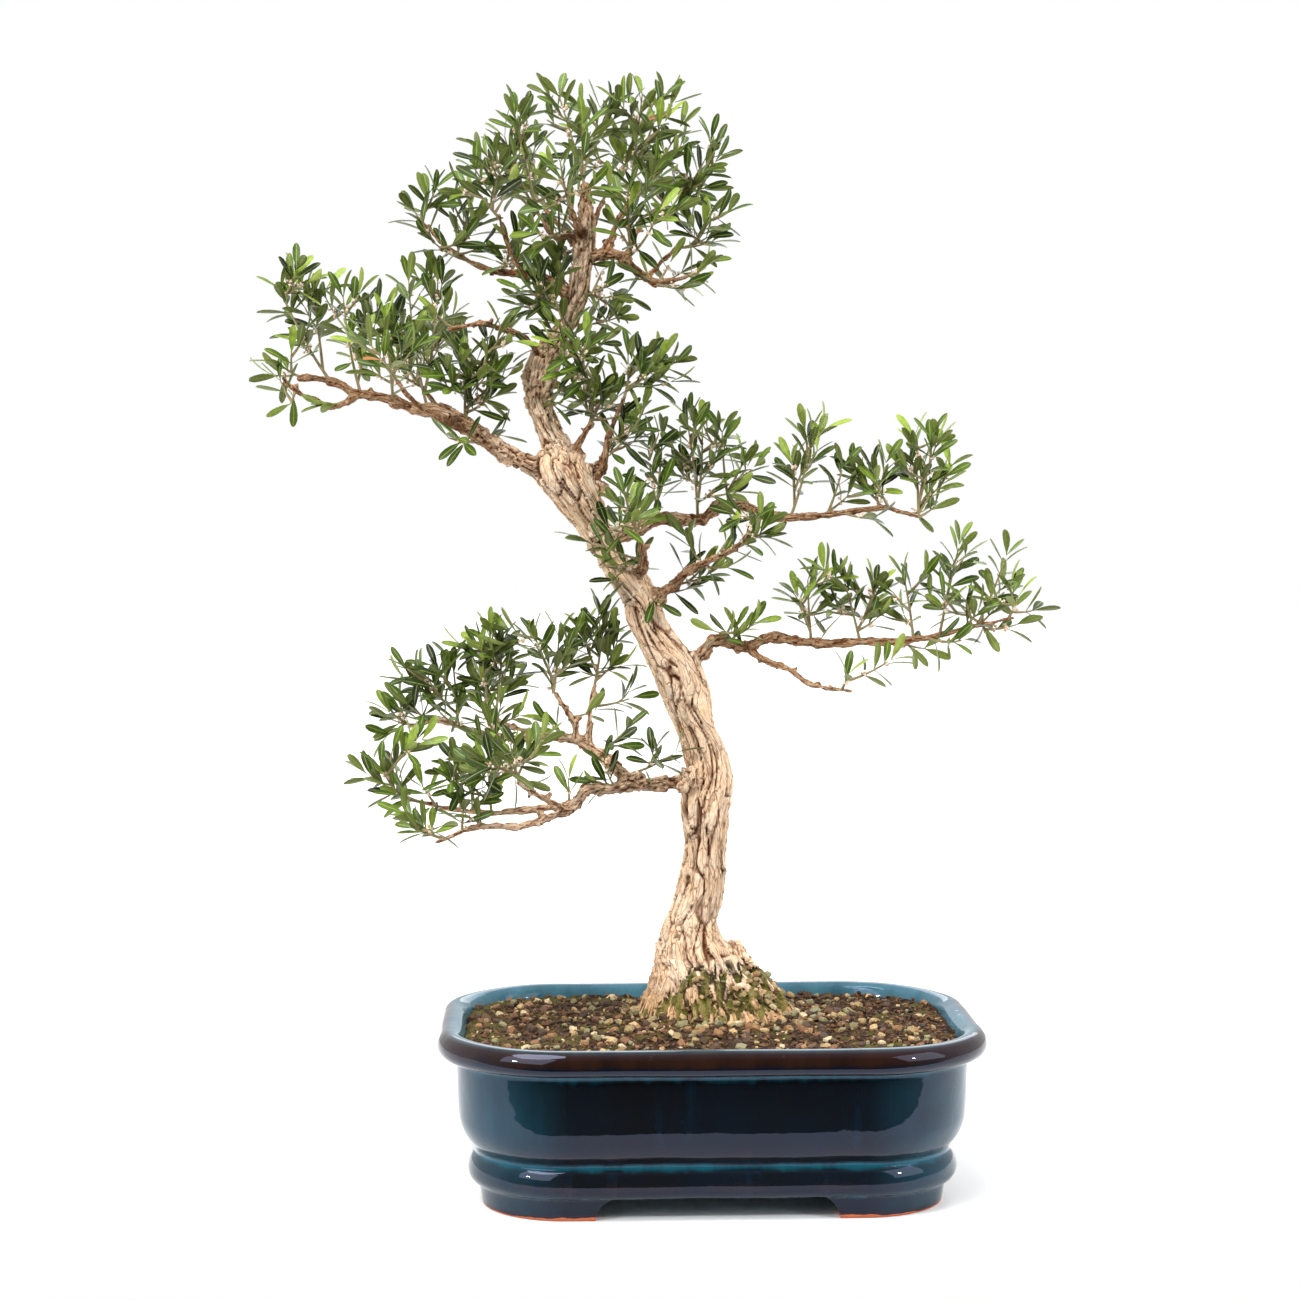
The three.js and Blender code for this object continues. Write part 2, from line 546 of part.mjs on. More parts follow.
// A shoot: a square twig, as boxwood's are, with its leaves growing out of its flats. A leaf is
// narrow at the root, widest past the middle, round at the tip and a little arched.
function shootSolid(line, pairs) {
  const across = planeOf(line);
  const vertices = [line.v0];
  const triangles = [];
  const ring = (middle, along) => {
    const third = along.clone().cross(across);
    [[1, 1], [-1, 1], [-1, -1], [1, -1]].forEach(([a, b]) => vertices.push(
      middle.clone().addScaledVector(across, a * TWIG_FLAT).addScaledVector(third, b * TWIG_FLAT)));
    return vertices.length - 4;
  };
  const quad = (a, b, c, d) => triangles.push(a, b, c, a, c, d);
  const leaf = (loop, pair) => {
    const [low, next, , high] = loop.map((index) => vertices[index]);
    const middle = low.clone().add(vertices[loop[2]]).multiplyScalar(0.5);
    const wide = next.clone().sub(low).normalize();
    const face = wide.clone().cross(high.clone().sub(low)).normalize();
    const { along, spread, length } = pair;
    const out = along.clone().multiplyScalar(Math.cos(spread)).addScaledVector(face, Math.sin(spread));
    const normal = along.clone().multiplyScalar(Math.sin(spread)).addScaledVector(face, -Math.cos(spread));
    let from = loop;
    for (const [share, half, arch] of LEAF_STATIONS) {
      const at = middle.clone().addScaledVector(out, share * length).addScaledVector(normal, arch * length);
      const to = [[-1, -1], [1, -1], [1, 1], [-1, 1]].map(([a, b]) => vertices.push(at.clone()
        .addScaledVector(wide, a * half * LEAF_WIDTH).addScaledVector(normal, b * LEAF_THICK / 2)) - 1);
      for (let i = 0; i < 4; i += 1) quad(from[i], from[(i + 1) % 4], to[(i + 1) % 4], to[i]);
      from = to;
    }
    quad(...from);
  };
  const foot = line.getTangentAt(0);
  let low = ring(line.v0, foot);
  for (let i = 0; i < 4; i += 1) triangles.push(0, low + (i + 1) % 4, low + i);
  for (const pair of pairs) {
    const start = ring(pair.root.clone().addScaledVector(pair.along, -LEAF_THICK / 2), pair.along);
    const end = ring(pair.root.clone().addScaledVector(pair.along, LEAF_THICK / 2), pair.along);
    for (let i = 0; i < 4; i += 1) {
      const next = (i + 1) % 4;
      quad(low + i, low + next, start + next, start + i);
      const loop = [start + i, start + next, end + next, end + i];
      if ((i % 2 === 1) === pair.cross) leaf(loop, pair);
      else quad(...loop);
    }
    low = end;
  }
  const tip = vertices.push(line.v2) - 1;
  for (let i = 0; i < 4; i += 1) triangles.push(tip, low + i, low + (i + 1) % 4);
  return solidFrom(vertices, triangles);
}

const mesh = (name, solid, material) => {
  const { vertProperties, triVerts } = solid.getMesh();
  const geometry = new THREE.BufferGeometry();
  geometry.setAttribute('position', new THREE.BufferAttribute(new Float32Array(vertProperties), 3));
  geometry.setIndex(new THREE.BufferAttribute(new Uint32Array(triVerts), 1));
  const one = new THREE.Mesh(geometry, material);
  one.name = name;
  return one;
};

const finish = (color, roughness) => new THREE.MeshStandardMaterial({ color, roughness, metalness: 0, flatShading: true });
const glaze = finish('#12414f', 0.12);
const earth = finish('#3b2d20', 0.95);
const barkFinish = finish('#c8a37b', 0.9);
const net = finish('#1c1f1e', 0.6);
const greens = ['#3f6b34', '#557f3c', '#6d9447'].map((color) => finish(color, 0.45));

for (const name of Object.keys(LIMBS)) middles[name] = limbLine(name);
for (const line of Object.values(middles)) {
  line.forEach(({ point, radius }, i) => {
    const next = line[Math.min(i + 1, line.length - 1)];
    taken.push({ point, node: 'wood', room: radius + WOOD_ROOM });
    taken.push({ point: point.clone().lerp(next.point, 0.5), node: 'wood', room: radius + WOOD_ROOM });
  });
}

// All the twigs come first, so that every leaf keeps clear of every twig. The first shoot of a spray
// leaves the limb, and the others fork from it a little way out.
const plants = [];
for (const [group, sprays] of Object.entries(SPRAYS)) {
  sprays.forEach(([parent, at, tips], i) => {
    const node = `${group}_spray_${String(i + 1).padStart(2, '0')}`;
    const draw = draws(node);
    const { point, radius } = nearest(parent, ...at);
    const first = shootLine(point, tips[0], draw);
    const fork = first.getPointAt((radius + FORK) / first.getLength());
    const lines = [first, ...tips.slice(1).map((tip) => shootLine(fork, tip, draw))];
    for (const line of lines) {
      taken.push(...line.getSpacedPoints(12).slice(2).map((spot) => ({ point: spot, node, room: TWIG_ROOM })));
    }
    plants.push({ node, lines, draw });
  });
}

const woodWithRoom = woodSolid(GAP);
const whole = new THREE.Group();
whole.add(mesh('pot', potSolid(), glaze));
whole.add(mesh('drain_screen_left', screenSolid(-1), net));
whole.add(mesh('drain_screen_right', screenSolid(1), net));
whole.add(mesh('soil', soilSolid(woodWithRoom), earth));
whole.add(mesh('wood', woodSolid(0), barkFinish));
plants.forEach(({ node, lines, draw }, i) => {
  const shoots = lines.map((line) => shootSolid(line, leafPairs(line, node, draw)));
  const spray = largest(Manifold.union(shoots).subtract(woodWithRoom));
  whole.add(mesh(node, spray, greens[i % greens.length]));
});

// The origin lies under the middle of the whole
const box = new THREE.Box3().setFromObject(whole);
whole.position.set(-(box.min.x + box.max.x) / 2, -(box.min.y + box.max.y) / 2, -box.min.z);

export default whole;
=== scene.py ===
# A boxwood bonsai in a glazed pot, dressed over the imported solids. The tables are in millimetres
# from the middle of the pot, and a mesh is made in metres in the frame of the solids.
import bpy
import json
import math
import numpy as np
from mathutils import Euler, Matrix, Vector, kdtree, noise


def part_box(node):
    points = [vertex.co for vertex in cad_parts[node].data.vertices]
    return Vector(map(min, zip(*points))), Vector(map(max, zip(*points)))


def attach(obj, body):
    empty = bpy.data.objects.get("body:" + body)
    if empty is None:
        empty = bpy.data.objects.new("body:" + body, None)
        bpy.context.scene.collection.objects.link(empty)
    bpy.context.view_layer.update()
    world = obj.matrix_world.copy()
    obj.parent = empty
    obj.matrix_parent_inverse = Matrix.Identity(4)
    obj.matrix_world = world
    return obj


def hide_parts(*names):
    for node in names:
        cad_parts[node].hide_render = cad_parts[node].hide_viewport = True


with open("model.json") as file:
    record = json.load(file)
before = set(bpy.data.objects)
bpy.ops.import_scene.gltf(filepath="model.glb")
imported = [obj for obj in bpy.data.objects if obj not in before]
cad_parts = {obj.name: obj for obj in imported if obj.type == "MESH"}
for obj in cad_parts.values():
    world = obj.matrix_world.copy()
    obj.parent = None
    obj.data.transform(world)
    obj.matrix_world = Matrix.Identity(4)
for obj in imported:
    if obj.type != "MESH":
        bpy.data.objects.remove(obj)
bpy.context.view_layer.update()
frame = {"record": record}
bpy.ops.object.select_all(action="DESELECT")
SLOTS = {part["node"]: part["material_slot"] for part in frame["record"]["subparts"]}

MM = 0.001
POT_LOW, POT_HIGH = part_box("pot")
POT_MIDDLE = Vector(((POT_LOW.x + POT_HIGH.x) / 2, (POT_LOW.y + POT_HIGH.y) / 2, 0))

# The camera, placed so that the pot's outline is the photo's. It looks a little down and to the
# right, by these angles in radians.
EYE = Vector((-132.9, -2012.1, 518.6))
LENS_WIDTH = 36.0
LENS_LENGTH = 75.8
LOOK_DOWN = 0.06
LOOK_RIGHT = 0.0444

# The pale floor ends a little in front of the pot, and so does its mirror image in the glaze
FLOOR_FRONT = -0.27
FLOOR_BACK = 9.0
FLOOR_WIDTH = 14.0

# The pot. Each level of its wall is the rim's outline moved inwards by an inset: [inset, height].
POT_WIDTH = 400
POT_DEPTH = 280
POT_CORNER = 93.5
FOOT_HEIGHT = 17
FOOT_WALL = [[60, 17], [55.5, 17], [53, 0.6], [52, 0], [33.5, 0], [32.3, 0.8], [30.4, 14], [28.2, 17]]
BAND_WALL = [[24.8, 18], [22.3, 21.5], [21.6, 26], [22.3, 31], [24, 35.2], [27, 38.5]]
BODY_WALL = [[27, 40.5], [25.4, 43.5], [20, 50], [15.8, 60], [14.8, 70], [14.2, 88], [13.8, 106]]
RIM_WALL = [[10, 107.4], [4, 108.3], [0.6, 112], [-0.3, 116], [0.9, 121], [5, 125.6], [9, 126.6],
            [13.5, 126], [17.6, 123], [19.8, 118.5], [21.5, 112]]
INNER_WALL = [[25, 75], [30, 36], [36, 27], [44, 26]]
# The gaps between the feet: half their length at the sole and at the top
ARCH_SOLE = {"long": 87, "short": 56}
ARCH_TOP = {"long": 74, "short": 43}
DRAIN_RADIUS = 11
DRAIN_OFFSET = 92
DRAIN_DEPTH = 40
DRAIN_SIDES = 48
# The wall is divided in steps this long on the sides, and in this many at a corner
SIDE_STEP = 9.0
CORNER_STEPS = 20
# The swell of the glazed wall: slow waves and finer ones
SWELL = 0.55
SWELL_FINE = 0.1
# How much the wall bulges at each height, from -1 in the deepest hollow to 1 on the sharpest edge
GLAZE_RIDGES = [
    [0, 1], [3, 0.7], [8, 0], [14, -0.1], [17.5, -0.7], [19.5, 0.2], [25, 0.55], [31, 0.2], [36, -0.3],
    [39, -0.8], [42, -0.5], [45, 0.45], [51, 0.4], [60, 0], [97, 0], [104, -0.5], [107, -0.9],
    [108.6, 0.6], [113, 0.5], [117, 0.2], [121, 0.6], [126, 0.9],
]

# The soil's lie: at the trunk as in the solids, and 2 mm higher along the pot's wall
SOIL_EDGE = 118
SOIL_MOUND = 9
MOUND_REACH = 62
MOUND_AT = [8, 26]

# The tree, read as a drawing on the plane y = 0. The trunk and its leader: height, left edge, right
# edge and depth of the middle
TRUNK = [
    [108, -44, 58, 30], [120, -54, 70, 30], [132, -50, 64, 30], [142, -46, 49, 30],
    [154, -42.5, 38, 30], [168, -39, 26, 29], [181, -35.5, 12, 29], [195, -32, 6.5, 28],
    [212, -26, 10.5, 27], [232, -20.5, 13, 26], [252, -18, 12.5, 25], [272, -20.5, 15.5, 24],
    [288, -21, 16, 24], [304, -15.5, 16, 23], [321, -17.5, 12, 22], [338, -23, 6, 21],
    [354, -31, 2, 20], [370, -38, -1, 20], [386, -45, -6, 19], [402, -53, -19, 18], [420, -60, -31, 17],
    [437, -65, -38, 16], [452, -76, -46, 15], [470, -86.5, -63, 15], [488, -100, -73, 14],
    [505, -114, -77, 13], [520, -126, -83, 12], [534, -130, -91, 12], [548, -122, -102, 11],
    [562, -127, -110, 10], [578, -133, -117, 9], [596, -134, -114, 8], [610, -131, -110, 8],
    [622, -123, -107, 7], [636, -111, -98, 6], [652, -105, -92, 5], [672, -100, -87, 4],
    [696, -98, -85, 2], [718, -95, -85, 1], [738, -94, -88, 0],
]
FLARE_HEIGHT = 175
FLARE_DEPTH = 0.78
# From this height up the leader widens past its drawn edges, by this share at the most
LEADER_START = 530
LEADER_MORE = 0.22

# The limbs: parent, points of the drawing, depth at the end, width at the start and at the end
LIMBS = {
    "left_branch": ["trunk", [[-112, 522], [-133, 534], [-160, 551], [-184, 567], [-209, 574],
        [-235, 581], [-258, 586], [-278, 596], [-301, 597]], -8, 14, 4],
    "left_loop": ["left_branch", [[-258, 584], [-273, 576], [-290, 582], [-302, 587], [-311, 597]], -16,
        5, 2.6],
    "left_front_limb": ["left_branch", [[-180, 562], [-196, 566], [-216, 580], [-228, 596]], -46, 6, 3],
    "left_back_limb": ["left_branch", [[-160, 548], [-176, 556], [-196, 572], [-210, 590]], 48, 6, 3],
    "low_shelf": ["trunk", [[-122, 612], [-133, 624], [-154, 634], [-172, 636], [-190, 632]], -30, 6,
        3],
    "mid_shelf": ["trunk", [[-98, 652], [-116, 669], [-135, 672], [-164, 677], [-190, 690],
        [-206, 708]], 16, 7, 2.6],
    "shelf_twig": ["mid_shelf", [[-134, 668], [-141, 682], [-150, 702], [-154, 716]], -26, 4, 2.4],
    "crown_left": ["trunk", [[-92, 690], [-101, 699], [-114, 700], [-122, 712]], -8, 6, 3],
    "crown_right": ["trunk", [[-94, 682], [-80, 687], [-62, 684], [-50, 672], [-38, 665]], -14, 9, 4],
    "crown_tip": ["crown_right", [[-47, 670], [-36, 681], [-24, 693]], 4, 4.5, 2.6],
    "crown_twig": ["crown_right", [[-42, 668], [-30, 668], [-15, 673]], -22, 4, 2.4],
    "crown_inner": ["crown_right", [[-80, 684], [-72, 698], [-66, 712], [-59, 727]], 4, 6, 3],
    "crown_side": ["crown_right", [[-64, 680], [-56, 698], [-50, 713]], 2, 5, 2.6],
    "crown_front": ["trunk", [[-92, 698], [-97, 710], [-102, 724]], -48, 7, 3],
    "crown_back": ["trunk", [[-91, 700], [-84, 712], [-78, 726]], 52, 7, 3],
    "crown_back_left": ["trunk", [[-93, 690], [-106, 704], [-120, 720]], 46, 6, 3],
    "leader_stub": ["trunk", [[-108, 534], [-97, 547], [-86, 565]], 4, 8, 3.4],
    "leader_shoot": ["trunk", [[-94, 518], [-78, 530], [-75, 552], [-62, 583]], -6, 7, 2.8],
    "upper_right": ["trunk", [[-88, 476], [-60, 483], [-37, 494], [-7, 493], [9, 504], [27, 503],
        [47, 496], [76, 496], [109, 500], [134, 502], [155, 495]], 44, 11, 3],
    "trunk_stem": ["trunk", [[-58, 446], [-48, 462], [-50, 478]], -26, 8, 4],
    "small_right": ["trunk", [[-52, 436], [-32, 441], [-17, 454], [0, 463], [18, 472], [30, 483]], -30,
        9, 2.6],
    "lower_right": ["trunk", [[-26, 388], [-6, 393], [5, 405], [28, 400], [48, 407], [71, 403],
        [100, 403], [132, 404], [165, 407], [197, 414], [226, 421]], -8, 10, 2.2],
    "under_branch": ["lower_right", [[28, 400], [41, 391], [58, 384], [73, 374], [90, 368], [106, 367]],
        -34, 5, 2.4],
    "lower_left": ["trunk", [[2, 298], [-23, 299], [-45, 298], [-64, 299]], 14, 12, 9],
    "low_arm": ["lower_left", [[-58, 299], [-72, 295], [-91, 294], [-99, 282], [-119, 274], [-138, 268],
        [-163, 268], [-182, 264], [-201, 256]], -34, 9, 2.8],
    "low_shelf_left": ["low_arm", [[-96, 285], [-110, 282], [-147, 278], [-181, 279], [-212, 285]], 6,
        6, 2.6],
    "low_front_limb": ["low_arm", [[-104, 280], [-122, 288], [-142, 300]], -62, 5, 2.8],
    "high_arm": ["lower_left", [[-58, 299], [-72, 313], [-89, 327], [-110, 334], [-141, 332],
        [-166, 336], [-198, 346], [-222, 341]], 44, 9, 2.6],
    "high_stem": ["high_arm", [[-88, 324], [-88, 345], [-85, 372]], 34, 5.5, 2.8],
    "high_twig": ["high_arm", [[-97, 330], [-102, 349], [-115, 366]], 22, 5, 2.6],
    "high_back_limb": ["high_arm", [[-120, 334], [-142, 340], [-165, 352]], 84, 5, 2.8],
}

# The sprays: parent limb, the place that they grow from, and the tips of their main shoots
SPRAYS = {
    "crown": [
        ["trunk", [-91, 736], [[-114, 817, -6], [-92, 797, -32], [-76, 808, 24]]],
        ["crown_inner", [-59, 726], [[-47, 819, 12], [-28, 817, -14]]],
        ["crown_inner", [-67, 709], [[-12, 794, 4], [-30, 764, -34]]],
        ["crown_side", [-50, 712], [[18, 765, -8], [11, 740, 24]]],
        ["crown_tip", [-25, 692], [[18, 699, 8], [10, 724, -22]]],
        ["crown_twig", [-16, 673], [[10, 684, -14]]],
        ["crown_left", [-121, 710], [[-156, 786, 14], [-146, 802, -10], [-178, 778, -2]]],
        ["shelf_twig", [-153, 714], [[-180, 746, -30], [-152, 758, -50]]],
        ["mid_shelf", [-204, 705], [[-226, 729, 10], [-201, 745, 30]]],
        ["mid_shelf", [-178, 684], [[-214, 702, -12], [-176, 718, 46]]],
        ["crown_front", [-102, 723], [[-112, 768, -84], [-72, 740, -88], [-132, 712, -80]]],
        ["crown_right", [-62, 684], [[-30, 728, -72], [-60, 752, -64]]],
        ["crown_back", [-78, 725], [[-60, 786, 64], [-60, 742, 94], [-16, 736, 60]]],
        ["crown_back_left", [-119, 719], [[-134, 768, 56], [-138, 728, 86]]],
        ["trunk", [-98, 655], [[-58, 672, -24], [-62, 644, 26]]],
    ],
    "left": [
        ["left_branch", [-296, 597], [[-329, 617, -4], [-305, 628, -30]]],
        ["left_branch", [-276, 595], [[-320, 675, 2], [-290, 668, 26]]],
        ["left_branch", [-254, 585], [[-270, 672, -10], [-250, 662, 34]]],
        ["left_branch", [-230, 580], [[-238, 656, -34], [-222, 642, 36]]],
        ["left_branch", [-206, 573], [[-222, 684, 0], [-196, 690, 6]]],
        ["left_branch", [-178, 563], [[-176, 642, -22], [-142, 612, 6]]],
        ["left_front_limb", [-228, 595], [[-248, 626, -74], [-208, 628, -80]]],
        ["left_back_limb", [-210, 589], [[-236, 626, 66], [-190, 628, 70]]],
        ["left_loop", [-303, 588], [[-308, 572, -30]]],
        ["low_shelf", [-188, 632], [[-210, 652, -44]]],
    ],
    "leader": [
        ["leader_stub", [-87, 563], [[-84, 607, 4], [-68, 598, 28]]],
        ["leader_shoot", [-63, 582], [[-54, 626, 14], [-26, 616, -14]]],
        ["leader_shoot", [-75, 552], [[-42, 566, -24]]],
    ],
    "trunk": [
        ["trunk_stem", [-50, 476], [[-66, 526, -32], [-88, 490, -48]]],
    ],
    "middle": [
        ["upper_right", [-38, 493], [[-47, 552, -14], [-33, 570, 24]]],
        ["upper_right", [-10, 493], [[-18, 582, -8], [-4, 576, 38]]],
        ["upper_right", [14, 504], [[8, 574, 10], [34, 552, 30]]],
    ],
    "upper_right": [
        ["upper_right", [61, 496], [[80, 571, 24], [60, 550, 44]]],
        ["upper_right", [88, 497], [[104, 548, 26]]],
        ["upper_right", [124, 502], [[118, 546, 54], [135, 551, 30]]],
        ["upper_right", [154, 496], [[150, 571, 50], [173, 567, 26], [184, 530, 54]]],
    ],
    "small_right": [
        ["small_right", [29, 482], [[56, 480, -38], [40, 500, -22]]],
    ],
    "lower_right": [
        ["lower_right", [18, 402], [[20, 426, -4], [-10, 412, 8]]],
        ["lower_right", [76, 403], [[72, 466, 0], [58, 452, 24]]],
        ["lower_right", [110, 403], [[97, 461, -14], [128, 459, 14]]],
        ["lower_right", [152, 406], [[142, 467, -10], [138, 432, 22]]],
        ["lower_right", [172, 408], [[189, 492, -4], [176, 446, -36]]],
        ["lower_right", [200, 414], [[227, 483, -8], [206, 398, 2]]],
        ["lower_right", [224, 420], [[236, 451, -18], [255, 427, 2]]],
        ["under_branch", [98, 368], [[106, 389, -46]]],
    ],
    "lower_left": [
        ["high_stem", [-85, 371], [[-75, 436, 38], [-97, 427, 50], [-50, 390, 34]]],
        ["high_twig", [-114, 365], [[-109, 424, 30], [-134, 422, 12]]],
        ["high_arm", [-158, 336], [[-150, 421, 40], [-170, 412, 20]]],
        ["high_arm", [-186, 342], [[-190, 406, 52], [-222, 392, 36]]],
        ["high_arm", [-220, 341], [[-249, 361, 44], [-248, 328, 26]]],
        ["low_shelf_left", [-205, 283], [[-259, 309, 8], [-240, 294, -14]]],
        ["low_arm", [-194, 259], [[-230, 272, -36], [-206, 270, -60]]],
        ["low_front_limb", [-141, 299], [[-150, 344, -70], [-184, 322, -66]]],
        ["high_back_limb", [-164, 351], [[-172, 396, 98], [-200, 368, 88]]],
        ["low_shelf_left", [-160, 278], [[-164, 328, -18], [-196, 318, -4]]],
    ],
}

# The tips of further shoots, as points of the drawing
MORE_TIPS = {
    "crown": [
        [-18, 805], [-76, 806], [-104, 806], [-127, 802], [-134, 791], [-179, 765], [-22, 795],
        [0, 785], [4, 770], [10, 745], [28, 724], [13, 706], [10, 689], [-3, 666], [-219, 730],
        [-197, 741], [-194, 747], [-64, 679], [-52, 643], [-84, 622], [-65, 625], [-74, 615],
        [-160, 720], [-140, 745], [-120, 760], [-98, 770], [-70, 770], [-40, 760], [-20, 745],
        [-60, 735], [-30, 715], [-10, 725], [-85, 745], [-110, 735], [-130, 700], [-165, 700],
        [-100, 790], [-60, 795], [-35, 790], [-150, 770], [-170, 740], [-45, 775], [-15, 765],
        [-75, 720], [-55, 750], [-130, 775], [-145, 680], [-120, 690], [-20, 695], [-122, 655],
        [-135, 662], [-112, 642], [-128, 690], [-140, 705], [-108, 708], [-118, 728], [-98, 742],
        [-150, 655], [-115, 672], [-86, 655], [-80, 700], [-72, 690], [-104, 628], [-120, 604],
        [-128, 640], [-96, 668], [-108, 652], [-100, 690], [-88, 715], [-116, 632], [-98, 600],
        [-194, 738], [-175, 730], [-160, 723], [-145, 712], [-130, 716], [-152, 697], [-122, 690],
        [-171, 687], [-141, 676], [-107, 676], [-115, 701],
    ],
    "left": [
        [-321, 610], [-305, 677], [-297, 685], [-280, 670], [-263, 667], [-246, 671], [-225, 680],
        [-211, 688], [-161, 627], [-152, 618], [-294, 575], [-206, 555], [-145, 558], [-137, 561],
        [-270, 630], [-250, 640], [-230, 620], [-215, 640], [-200, 650], [-185, 640], [-190, 610],
        [-170, 600], [-150, 590], [-160, 640], [-240, 610], [-260, 610], [-285, 640], [-210, 600],
        [-200, 625], [-175, 620], [-134, 607], [-225, 660], [-180, 655], [-205, 670], [-140, 640],
        [-128, 630], [-150, 652], [-145, 600],
    ],
    "leader": [
        [-36, 624], [-25, 624], [-35, 610], [-81, 607], [-71, 597], [-42, 591], [-45, 576], [-51, 572],
        [-47, 566], [-41, 558], [-105, 587], [-113, 586], [-60, 610], [-65, 570], [-120, 668],
        [-135, 650], [-112, 640], [-98, 655], [-140, 675], [-105, 625], [-118, 605], [-95, 610],
        [-88, 640], [-125, 630], [-150, 665], [-100, 680],
    ],
    "trunk": [
        [-67, 527], [-45, 517], [-83, 495], [-92, 479], [-109, 485], [-81, 462], [-60, 505], [-40, 500],
        [-93, 461], [-73, 448], [-42, 465], [-53, 521], [-46, 478],
    ],
    "middle": [
        [-20, 581], [-32, 570], [-7, 581], [19, 567], [23, 560], [27, 546], [38, 544], [34, 533],
        [-12, 577], [-38, 555], [-33, 546], [-33, 540], [-39, 531], [17, 526], [45, 542], [34, 517],
    ],
    "upper_right": [
        [69, 575], [95, 573], [60, 549], [106, 543], [102, 532], [96, 543], [88, 558], [117, 533],
        [114, 520], [138, 518], [165, 569], [182, 559], [186, 547], [145, 559], [143, 547], [172, 529],
        [179, 512], [173, 501], [137, 491], [75, 545], [160, 540], [128, 540],
    ],
    "small_right": [
        [37, 482], [30, 457], [13, 456], [50, 490], [39, 508], [24, 493], [5, 500], [7, 470], [-1, 444],
        [-24, 486], [-15, 474], [-24, 500], [-30, 428],
    ],
    "lower_right": [
        [31, 418], [37, 413], [4, 411], [47, 426], [74, 465], [95, 469], [85, 457], [60, 450],
        [89, 452], [77, 437], [105, 457], [128, 450], [130, 459], [129, 443], [138, 429], [125, 452],
        [175, 440], [195, 401], [174, 394], [150, 397], [198, 480], [221, 461], [180, 472], [169, 463],
        [194, 436], [210, 437], [224, 440], [233, 450], [245, 418], [204, 406], [105, 430], [145, 445],
        [160, 430], [165, 450], [185, 450], [70, 430], [115, 425],
    ],
    "lower_left": [
        [-96, 426], [-63, 420], [-105, 417], [-133, 418], [-162, 417], [-171, 411], [-185, 407],
        [-196, 403], [-208, 394], [-215, 389], [-236, 393], [-230, 380], [-233, 365], [-249, 350],
        [-250, 325], [-241, 295], [-235, 290], [-224, 268], [-61, 396], [-40, 366], [-51, 348],
        [-114, 327], [-69, 358], [-120, 400], [-140, 400], [-160, 390], [-180, 385], [-200, 372],
        [-130, 350], [-110, 385], [-90, 400], [-150, 370], [-170, 365], [-190, 360], [-210, 360],
        [-215, 335], [-195, 330], [-175, 320], [-220, 310], [-200, 300], [-180, 300], [-160, 310],
        [-140, 320], [-230, 340], [-130, 375], [-125, 355], [-150, 300], [-10, 328], [-239, 352],
        [-233, 326], [-209, 312], [-191, 318], [-170, 335], [-149, 335], [-114, 346], [-96, 303],
        [-160, 345], [-128, 335], [-104, 318], [-194, 283], [-184, 271], [-200, 341], [-179, 343],
        [-120, 318],
    ],
}


# Small helpers

def draws(name):
    """Seeded draws: the same name always gives the same row of numbers between 0 and 1."""
    state = 2166136261
    for letter in name:
        state = ((state ^ ord(letter)) * 16777619) & 0xFFFFFFFF
    while True:
        state = (state + 0x6D2B79F5) & 0xFFFFFFFF
        mixed = ((state ^ (state >> 15)) * (state | 1)) & 0xFFFFFFFF
        mixed ^= (mixed + (mixed ^ (mixed >> 7)) * (mixed | 61)) & 0xFFFFFFFF
        yield (mixed ^ (mixed >> 14)) / 4294967296


def held(value):
    """A number held between 0 and 1."""
    return min(1.0, max(0.0, value))


def wave(x, y, z):
    """Smooth noise, between -1 and 1."""
    return noise.noise(Vector((x, y, z)))


def chosen(draw, items):
    """One of some items at random."""
    return items[int(next(draw) * len(items))]


def placed(u, w, depth):
    """A point of the drawing plane y = 0, moved along its line of sight to a depth."""
    flat = Vector((u, 0, w))
    return EYE + (flat - EYE) * ((depth - EYE.y) / -EYE.y)


def drawn(point):
    """The point of the drawing that a point in space covers."""
    on = EYE + (point - EYE) * (-EYE.y / (point.y - EYE.y))
    return on.x, on.z


def in_frame(points):
    """Millimetres from the middle of the pot, as metres in the frame of the solids."""
    spots = np.asarray(points, float).reshape(-1, 3) * MM
    spots[:, 0] += POT_MIDDLE.x
    spots[:, 1] += POT_MIDDLE.y
    return spots


def start_piece(name, points, faces=(), edges=()):
    """A new object from points in millimetres, alone selected and active."""
    mesh = bpy.data.meshes.new(name)
    mesh.from_pydata(in_frame(points).tolist(), list(edges), list(faces))
    mesh.update()
    piece = bpy.data.objects.new(name, mesh)
    bpy.context.scene.collection.objects.link(piece)
    pick(piece)
    return piece


def pick(piece):
    bpy.ops.object.select_all(action="DESELECT")
    piece.select_set(True)
    bpy.context.view_layer.objects.active = piece


def open_piece(piece):
    """Opens a piece for editing with all of it selected."""
    pick(piece)
    bpy.ops.object.mode_set(mode="EDIT")
    bpy.ops.mesh.select_all(action="SELECT")


def close_piece():
    """Turns the open piece's faces outwards and ends its editing."""
    bpy.ops.mesh.select_all(action="SELECT")
    bpy.ops.mesh.normals_make_consistent(inside=False)
    bpy.ops.object.mode_set(mode="OBJECT")


def apply_modifier(piece, kind, **settings):
    pick(piece)
    modifier = piece.modifiers.new(kind.title(), kind)
    for key, value in settings.items():
        setattr(modifier, key, value)
    bpy.ops.object.modifier_apply(modifier=modifier.name)


def smooth_by_angle(piece, degrees):
    pick(piece)
    bpy.ops.object.shade_smooth_by_angle(angle=math.radians(degrees))


def vertex_places(piece):
    spots = np.empty(len(piece.data.vertices) * 3, np.float32)
    piece.data.vertices.foreach_get("co", spots)
    return spots.reshape(-1, 3).astype(float)


